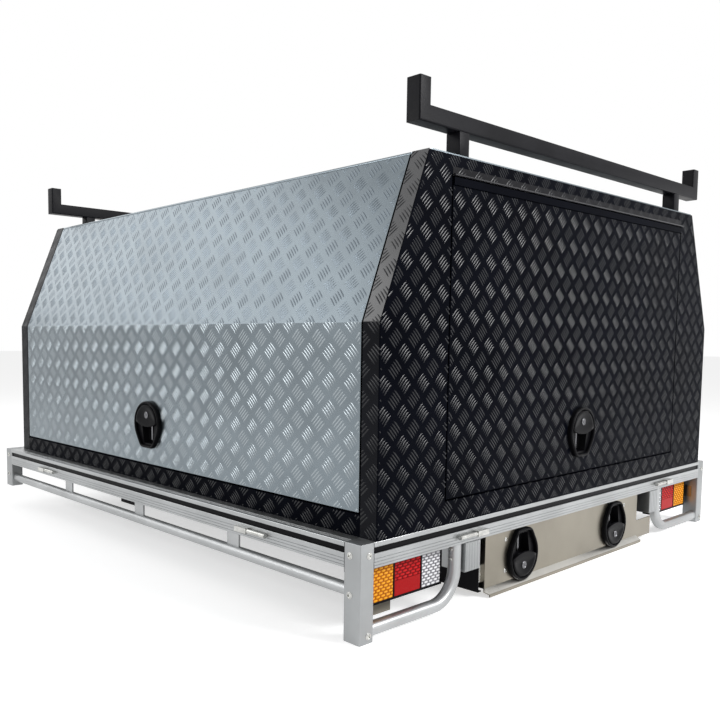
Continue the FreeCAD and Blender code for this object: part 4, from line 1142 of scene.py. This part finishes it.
@dataclass(frozen=True)
class Post:
    """A corner post: a square tube, closed at the top and open at the foot, with rounded edges."""

    wall: float = 0.004
    corner: float = 0.003
    least_corner: float = 0.0006
    edge: float = 0.0012
    edge_share: float = 0.3
    foot_edge: float = 0.0005

    def build(self) -> None:
        """Make the four posts."""
        for end in ("rear", "front"):
            for side in Side:
                node = f"corner_post_{end}_{side.word}"
                low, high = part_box(node)
                near = self.edge * self.edge_share
                levels = [(self.edge, high.z), (near, high.z - near), (0.0, high.z - self.edge),
                          (0.0, low.z + self.foot_edge), (self.foot_edge, low.z), (self.wall, low.z),
                          (self.wall, high.z - self.wall)]
                Form().loft([self.ring(low, high, inset, z) for inset, z in levels]).piece(
                    f"post_{end}_{side.word}", TRAY, "rail_z", [node], crease=30.0)

    def ring(self, low: Vector, high: Vector, inset: float, z: float) -> list[Vector]:
        """One level of the tube's section, drawn in by an inset."""
        corners = rectangle(low.x + inset, high.x - inset, low.y + inset, high.y - inset)
        return [Vector((x, y, z)) for x, y in rounded(corners, max(self.corner - inset, self.least_corner))]


@dataclass(frozen=True)
class LightGuard:
    """The bent tube in front of each tail light, with rounded edges."""

    tube: float = 0.030
    corner: float = 0.013
    bend: float = 0.085
    steps: int = 18

    def build(self) -> None:
        """Make both guards."""
        half = self.tube / 2
        section = rounded(rectangle(-half, half, -half, half), self.corner, 5)
        for side in Side:
            node = f"light_guard_{side.word}"
            low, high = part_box(node)
            outer = side.value * max(abs(low.x), abs(high.x))
            inner = side.value * (min(abs(low.x), abs(high.x)) + half)
            level, middle = low.z + half, (low.y + high.y) / 2
            path = [Vector((outer, middle, level))]
            for step in range(self.steps + 1):
                angle = math.pi / 2 * step / self.steps
                path.append(Vector((inner + side.value * self.bend * (1 - math.sin(angle)), middle,
                                    level + self.bend * (1 - math.cos(angle)))))
            path.append(Vector((inner, middle, high.z)))
            Form().sweep(path, section, Y).piece(f"guard_{side.word}", TRAY, "tube", [node], crease=30.0)


@dataclass(frozen=True)
class RopeRail:
    """The round rope rail along each side and the flat brackets that hang it."""

    radius: float = 0.015
    wall: float = 0.0025
    bracket: float = 0.050
    bracket_edge: float = 0.0008
    bracket_foot: float = 0.6
    thickness: float = 0.006
    places: tuple[float, ...] = (-0.481, -0.007, 0.467)

    def build(self) -> None:
        """Make both rails with their brackets."""
        bore = self.radius - self.wall
        for side in Side:
            node = f"rope_rail_{side.word}"
            low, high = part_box(node)
            x, z, length = (low.x + high.x) / 2, low.z + self.radius, high.y - low.y
            form = Form().lathe([(self.radius, 0.0), (self.radius, length), (bore, length), (bore, 0.0)],
                                Place(Vector((x, low.y, z)), Z, X, Y), 40, closed=True)
            for y in self.places:
                form.slab((x - self.thickness / 2, y - self.bracket / 2, z + self.radius * self.bracket_foot),
                          (x + self.thickness / 2, y + self.bracket / 2, high.z), self.bracket_edge, axis=1)
            form.piece(f"rope_rail_{side.word}_tube", TRAY, "tube", [node])


@dataclass(frozen=True)
class TailLight:
    """The three-colour tail lights: beaded lenses in the CAD housing."""

    bead_depth: float = 0.0016
    bead_wide: float = 0.0190
    bead_tall: float = 0.0073
    bead_power: float = 0.7
    flat_share: float = 0.42
    flat_level: float = 0.5
    flat_ripple: float = 0.08
    ripples: tuple[int, int] = (3, 2)
    cells: int = 8

    def build(self) -> None:
        """Make the lenses; the housings keep their CAD shape."""
        PAINTS.coat_node("tail_light_housings", "plastic")
        for colour in ("amber", "red", "clear"):
            node = f"tail_light_lenses_{colour}"
            low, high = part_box(node)
            places = [abs(vertex.co.x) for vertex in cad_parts[node].data.vertices]
            form = Form()
            for side in Side:
                edges = sorted((side.value * min(places), side.value * max(places)))
                self.lens(form, edges, low, high, colour)
            form.piece(f"tail_light_{colour}", TRAY, colour, [node], crease=30.0)

    def bead(self, u: float, v: float, flat: bool) -> float:
        """How far a lens stands out, as a share of a bead, at a place counted in beads across and up."""
        if flat:
            ripple = abs(math.sin(math.pi * u * self.ripples[0])) * abs(math.sin(math.pi * v * self.ripples[1]))
            return self.flat_level + self.flat_ripple * ripple
        return abs(math.sin(math.pi * u)) ** self.bead_power * abs(math.sin(math.pi * v)) ** self.bead_power

    def lens(self, form: Form, edges: Sequence[float], low: Vector, high: Vector, colour: str) -> None:
        """Add one lens: a slab whose face is a field of beads.

        Args:
            form: What it is added to.
            edges: Its left and right edge.
            low: The lowest corner of the lenses' box.
            high: The highest corner.
            colour: Which lens it is; the red one is flat in its lower part.
        """
        across, tall = edges[1] - edges[0], high.z - low.z
        columns, rows = round(across / self.bead_wide), round(tall / self.bead_tall)
        wide, deep = columns * self.cells + 1, rows * self.cells + 1
        start = len(form.points)
        for j in range(deep):
            v = j / (deep - 1) * rows
            flat = colour == "red" and v < round(rows * self.flat_share)
            for i in range(wide):
                u = i / (wide - 1) * columns + (0.5 if int(v) % 2 else 0.0)
                bead = 0.0 if i in (0, wide - 1) or j in (0, deep - 1) else self.bead(u, v, flat)
                form.points.append(Vector((edges[0] + across * i / (wide - 1), low.y + self.bead_depth * (1 - bead),
                                           low.z + tall * j / (deep - 1))))
        for j in range(deep - 1):
            for i in range(wide - 1):
                near = start + j * wide + i
                form.faces.append((near, near + 1, near + wide + 1, near + wide))
        rim = [start + i for i in range(wide)]
        rim += [start + j * wide + wide - 1 for j in range(1, deep)]
        rim += [start + (deep - 1) * wide + i for i in range(wide - 2, -1, -1)]
        rim += [start + j * wide for j in range(deep - 2, 0, -1)]
        back = len(form.points)
        form.points += [Vector((form.points[index].x, high.y, form.points[index].z)) for index in rim]
        for k, this in enumerate(rim):
            following = (k + 1) % len(rim)
            form.faces.append((this, rim[following], back + following, back + k))
        form.faces.append(tuple(range(back, back + len(rim))))


@dataclass(frozen=True)
class RoofRack:
    """A roof rack of square tube: a bar mitred to an upright at each end, on two posts."""

    tube: float = 0.040
    corner: float = 0.004
    stand: float = 0.055
    post_inset: float = 0.130
    post_edge: float = 0.0005
    canopy: CanopySkins = CanopySkins()

    def build(self) -> None:
        """Make both racks."""
        half, roof = self.tube / 2, self.canopy.roof
        bar = roof + self.stand + half
        section = rounded(rectangle(-half, half, -half, half), self.corner)
        for word in ("rear", "front"):
            node = f"roof_rack_{word}"
            low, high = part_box(node)
            left, right, middle = low.x + half, high.x - half, (low.y + high.y) / 2
            path = [Vector((x, middle, z)) for x, z in ((left, high.z), (left, bar), (right, bar), (right, high.z))]
            form = Form().sweep(path, section, Y)
            for side in Side:
                x = side.value * (self.canopy.roof_side - self.post_inset)
                form.slab((x - half, low.y, roof), (x + half, high.y, bar - half), self.post_edge,
                          corner=self.corner)
            form.piece(f"rack_{word}", TRAY, "steel", [node], crease=30.0)


@dataclass(frozen=True)
class RainStrip:
    """The rear door's hinge: a leaf under the tread and a rounded nose over the door's head."""

    flange: float = 0.0004
    lap: float = 0.0015
    lap_edge: float = 0.0006
    reach: float = 0.0045
    nose: float = 0.0045
    nose_height: float = 0.0045
    nose_rise: float = 0.0025
    height: float = 0.0080
    steps: int = 12

    def build(self) -> None:
        """Make the strip in the CAD hinge's place."""
        low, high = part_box("rear_door_hinge")
        wall = high.y
        foot = low.z + self.nose_rise
        middle, top = foot + self.nose_height / 2, low.z + self.height
        section = [(wall, top), (wall - self.lap, top - self.lap_edge), (wall - self.lap, foot + self.nose_height)]
        for step in range(self.steps + 1):
            angle = math.pi / 2 - math.pi * step / self.steps
            section.append((wall - self.reach - self.nose * math.cos(angle),
                            middle + self.nose_height / 2 * math.sin(angle)))
        section += [(wall, foot)]
        leaf = rectangle(wall - self.flange, wall, top, high.z)
        for name, outline, finish, nodes in (("rear_rain_strip", section, "nose", ["rear_door_hinge"]),
                                             ("rear_rain_leaf", leaf, "steel", [])):
            rings = [[Vector((x, y, z)) for y, z in outline] for x in (low.x, high.x)]
            Form().loft(rings).piece(name, TRAY, finish, nodes, crease=30.0)


@dataclass(frozen=True)
class Screws:
    """The button-head screws and bolts that show, each with a washer and a socket in its head.

    The washer is pairs of share of the radius and height; the dome's heights are shares of the
    radius too.
    """

    post_radius: float = 0.0065
    guard_radius: float = 0.0045
    bolt_radius: float = 0.0050
    axis: float = 0.0001
    washer: Outline = ((1.25, -0.001), (1.25, 0.0008), (1.05, 0.0010), (1.0, 0.0012))
    dome: Outline = ((0.92, 0.42), (0.55, 0.55), (0.50, 0.52), (0.46, 0.12))
    socket_floor: float = 0.10
    post_side: tuple[float, float, float] = (-0.926, 0.199, 0.109)
    post_rear: tuple[float, float, float] = (0.006, 0.200, 0.017)
    post_front: tuple[float, float, float] = (0.025, 0.205, 0.130)
    guard: tuple[float, float, float] = (0.030, 0.155, 0.130)
    bolts: Outline = ((-0.345, 0.139), (-0.345, 0.053), (0.345, 0.139))
    bolt_seat: float = 0.017

    def head(self, form: Form, place: Place, radius: float) -> None:
        """Add one domed head with a washer and a socket."""
        form.lathe([(self.axis, self.washer[0][1]), *((radius * wide, level) for wide, level in self.washer),
                    *((radius * wide, radius * rise) for wide, rise in self.dome),
                    (self.axis, radius * self.socket_floor)], place)

    def build(self) -> None:
        """Make the screws of the posts, the guards and the drawer's face."""
        posts, guards = [], []
        for side in Side:
            outward = (Y * side.value, Z, X * side.value)
            low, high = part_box(f"corner_post_rear_{side.word}")
            face = low.x if side is Side.LEFT else high.x
            y, *heights = self.post_side
            posts += [Place(Vector((face, y, z)), *outward) for z in heights]
            aside, *heights = self.post_rear
            posts += [Place(Vector(((low.x + high.x) / 2 + aside, low.y, z)), X, Z, -Y) for z in heights]
            inward, *heights = self.post_front
            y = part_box(f"corner_post_front_{side.word}")[0].y + inward
            posts += [Place(Vector((face, y, z)), *outward) for z in heights]
            low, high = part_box(f"light_guard_{side.word}")
            tube, *heights = self.guard
            x = side.value * (min(abs(low.x), abs(high.x)) + tube)
            guards += [Place(Vector((x, (low.y + high.y) / 2, z)), *outward) for z in heights]
        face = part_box("drawer_face")[0].y + self.bolt_seat
        bolts = [Place(Vector((x, face, z)), X, Z, -Y) for x, z in self.bolts]
        for name, body, radius, places in (("post_screws", TRAY, self.post_radius, posts),
                                           ("guard_screws", TRAY, self.guard_radius, guards),
                                           ("drawer_bolts", "drawer", self.bolt_radius, bolts)):
            form = Form()
            for place in places:
                self.head(form, place, radius)
            form.piece(name, body, "zinc", crease=40.0)


@dataclass(frozen=True)
class RunnerEnds:
    """The ribbed face of each runner's rear end."""

    ribs: int = 5
    proud: float = 0.0025
    plate: float = 0.001
    lap: float = 0.0005
    margin: float = 0.001
    land: float = 0.004
    rib_foot: float = 0.0012
    rib_head: float = 0.003

    def build(self) -> None:
        """Make a ribbed plate over each runner's rear end."""
        for side in Side:
            low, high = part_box(f"runner_{side.word}")
            pitch = (high.x - low.x - 2 * self.land) / self.ribs
            base, crest = low.y - self.plate, low.y - self.proud
            outline = [(low.x + self.margin, low.y + self.lap), (low.x + self.margin, base)]
            for index in range(self.ribs):
                start = low.x + self.land + index * pitch
                outline += [(start + self.rib_foot, base), (start + self.rib_head, crest),
                            (start + pitch - self.rib_head, crest), (start + pitch - self.rib_foot, base)]
            outline += [(high.x - self.margin, base), (high.x - self.margin, low.y + self.lap)]
            form = Form().prism(outline, Place(Vector(), X, Y, Z), low.z + self.margin, high.z - self.margin)
            form.piece(f"runner_end_{side.word}", TRAY, "rail_z", crease=20.0)


@dataclass(frozen=True)
class DrawerLip:
    """The folded lip along the foot of the drawer's face: a sloping band and a short front edge."""

    foot: float = 0.010
    rise: float = 0.0093
    drop: float = 0.0020
    band_foot: float = 0.004
    sheet: float = 0.0022
    bend: float = 0.0012
    bend_drop: float = 0.0010
    cover: float = 0.0004
    setback: float = 0.017
    lap: float = 0.0005

    def build(self) -> None:
        """Make the lip over the CAD face's own."""
        low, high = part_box("drawer_face")
        half, foot = abs(low.x), low.z + self.foot
        edge, face = low.y - self.cover, low.y + self.setback
        top, under = foot + self.rise, low.z - self.cover
        band = [(face + self.lap, top), (face, top), (edge + self.bend, foot - self.drop),
                (edge + self.bend, foot - self.band_foot), (face + self.lap, foot - self.cover)]
        front = [(edge, under), (edge + self.sheet, under), (edge + self.sheet, foot - self.drop - self.sheet),
                 (edge + self.bend, foot - self.drop), (edge, foot - self.drop - self.bend_drop)]
        # The sloping band takes the lighter copy of the brushed steel, a painted highlight; the front edge keeps the
        # plain steel.
        for name, section, finish in (("drawer_lip", band, "lip"), ("drawer_lip_edge", front, "brushed")):
            rings = [[Vector((x, y, z)) for y, z in section] for x in (-half, half)]
            Form().loft(rings).piece(name, "drawer", finish, crease=25.0)


PLAIN_NODES = {
    "tray_deck": "rail_y", "cross_bearers": "rail_x", "runner_left": "rail_y", "runner_right": "rail_y",
    "chassis_brackets": "steel", "dropside_hinge_pins": "zinc", "tail_light_brackets": "brushed",
    "side_door_hinges": "silver", "drawer_housing": "steel", "drawer_slide_channels": "zinc",
    "drawer_slide_bars": "zinc", "drawer_box": "brushed", "drawer_face": "brushed",
}


# ---------------------------------------------------------------- studio


@dataclass(frozen=True)
class Softbox:
    """A large soft lamp that faces a point of the part."""

    name: str
    target: tuple[float, float, float]
    way: tuple[float, float, float]
    distance: float
    size: tuple[float, float]
    radiance: float

    def build(self) -> None:
        """Hang the lamp so that it shines with its radiance from its way."""
        lamp = bpy.data.lights.new(self.name, "AREA")
        lamp.shape = "RECTANGLE"
        lamp.size, lamp.size_y = self.size
        lamp.energy = self.radiance * math.pi * self.size[0] * self.size[1]
        item = bpy.data.objects.new(self.name, lamp)
        way = Vector(self.way).normalized()
        item.location = Vector(self.target) + way * self.distance
        item.rotation_mode = "QUATERNION"
        item.rotation_quaternion = way.to_track_quat("Z", "Y")
        item.visible_camera = False
        bpy.context.scene.collection.objects.link(item)


@dataclass(frozen=True)
class Studio:
    """The camera, the lamps, the world and the pale floor."""

    eye: tuple[float, float, float] = (-2.19873, -2.10413, 0.68438)
    yaw: float = 0.7131385
    pitch: float = -0.0812119
    roll: float = 0.0055250
    lens: float = 39.3475
    sensor: float = 36.0
    shift: tuple[float, float] = (0.125, 0.0555556)
    floor_size: float = 60.0
    floor_shade: float = 0.80
    floor_glow: float = 0.55
    sky: float = 0.42
    lamps: tuple[Softbox, ...] = (
        Softbox("slope_light", (-0.8, 0.0, 0.9), (-0.34, 0.82, 0.46), 5.0, (4.0, 2.6), 1.24),
        Softbox("rear_light", (0.0, -0.96, 0.7), (0.34, -0.82, 0.45), 4.4, (2.4, 1.3), 19.0),
        Softbox("side_light", (-0.9, 0.0, 0.5), (-0.857, 0.333, 0.393), 4.2, (2.6, 0.9), 6.2),
        Softbox("top_light", (0.0, 0.0, 1.0), (0.25, -0.1, 1.0), 4.0, (3.0, 3.0), 1.2),
    )

    def build(self) -> None:
        """Set the studio up round the part."""
        bpy.context.scene.view_settings.view_transform = "Standard"
        self.build_camera()
        for lamp in self.lamps:
            lamp.build()
        self.build_world()
        self.build_floor()

    def build_camera(self) -> None:
        """Stand the camera where the photograph was taken."""
        data = bpy.data.cameras.new("camera")
        data.lens = self.lens
        data.sensor_width = self.sensor
        data.shift_x, data.shift_y = self.shift
        item = bpy.data.objects.new("camera", data)
        ahead = Vector((math.sin(self.yaw) * math.cos(self.pitch), math.cos(self.yaw) * math.cos(self.pitch),
                        math.sin(self.pitch)))
        right = ahead.cross(Z).normalized()
        up = right.cross(ahead)
        tilted = right * math.cos(self.roll) + up * math.sin(self.roll)
        upright = up * math.cos(self.roll) - right * math.sin(self.roll)
        item.location = self.eye
        matrix = item.matrix_world.to_3x3()
        for row in range(3):
            matrix[row][0], matrix[row][1], matrix[row][2] = tilted[row], upright[row], -ahead[row]
        item.rotation_mode = "QUATERNION"
        item.rotation_quaternion = matrix.to_quaternion()
        bpy.context.scene.collection.objects.link(item)
        bpy.context.scene.camera = item

    @staticmethod
    def seen(net: Net) -> Wire:
        """One where a ray comes from the camera, a reflection or through glass, and zero elsewhere."""
        paths = net.add("ShaderNodeLightPath").outputs
        camera, glossy, through = (Wire(net, paths[name]) for name in
                                   ("Is Camera Ray", "Is Glossy Ray", "Is Transmission Ray"))
        return net.math("MINIMUM", camera + glossy + through, 1.0)

    def build_world(self) -> None:
        """White where it is seen, and a gentle even light elsewhere."""
        world = bpy.data.worlds.new("studio")
        world.use_nodes = True
        net = Net(world.node_tree)
        seen = self.seen(net)
        strength = seen * (1.0 - self.sky) + self.sky
        sky = net.add("ShaderNodeBackground", None, {"Color": WHITE, "Strength": strength})
        net.add("ShaderNodeOutputWorld", None, {"Surface": sky.outputs[0]})
        bpy.context.scene.world = world

    def build_floor(self) -> None:
        """A pale floor that is white where it is lit and keeps the part's shadow."""
        material, net = new_net("pale_floor")
        seen = self.seen(net)
        diffuse = net.add("ShaderNodeBsdfDiffuse", None, {"Color": (*[self.floor_shade] * 3, 1.0)})
        glow = net.add("ShaderNodeEmission", None, {"Color": WHITE, "Strength": seen * self.floor_glow})
        both = net.add("ShaderNodeAddShader", None, {0: diffuse.outputs[0], 1: glow.outputs[0]})
        net.add("ShaderNodeOutputMaterial", None, {"Surface": both.outputs[0]})
        half = self.floor_size / 2
        mesh = bpy.data.meshes.new("floor")
        mesh.from_pydata([(-half, -half, 0.0), (half, -half, 0.0), (half, half, 0.0), (-half, half, 0.0)], [],
                         [(0, 1, 2, 3)])
        mesh.materials.append(material)
        floor = bpy.data.objects.new("floor", mesh)
        bpy.context.scene.collection.objects.link(floor)


def main() -> None:
    """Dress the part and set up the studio."""
    logging.basicConfig(level=logging.INFO, format="%(name)s: %(message)s")
    Studio().build()
    CanopySkins().build()
    Latch().build()
    for part in (EdgeRail(), Post(), LightGuard(), RopeRail(), TailLight(), RoofRack(), RainStrip(), Screws(),
                 RunnerEnds(), DrawerLip()):
        part.build()
    for node, finish in PLAIN_NODES.items():
        PAINTS.coat_node(node, finish)


if __name__ == "__main__":
    main()
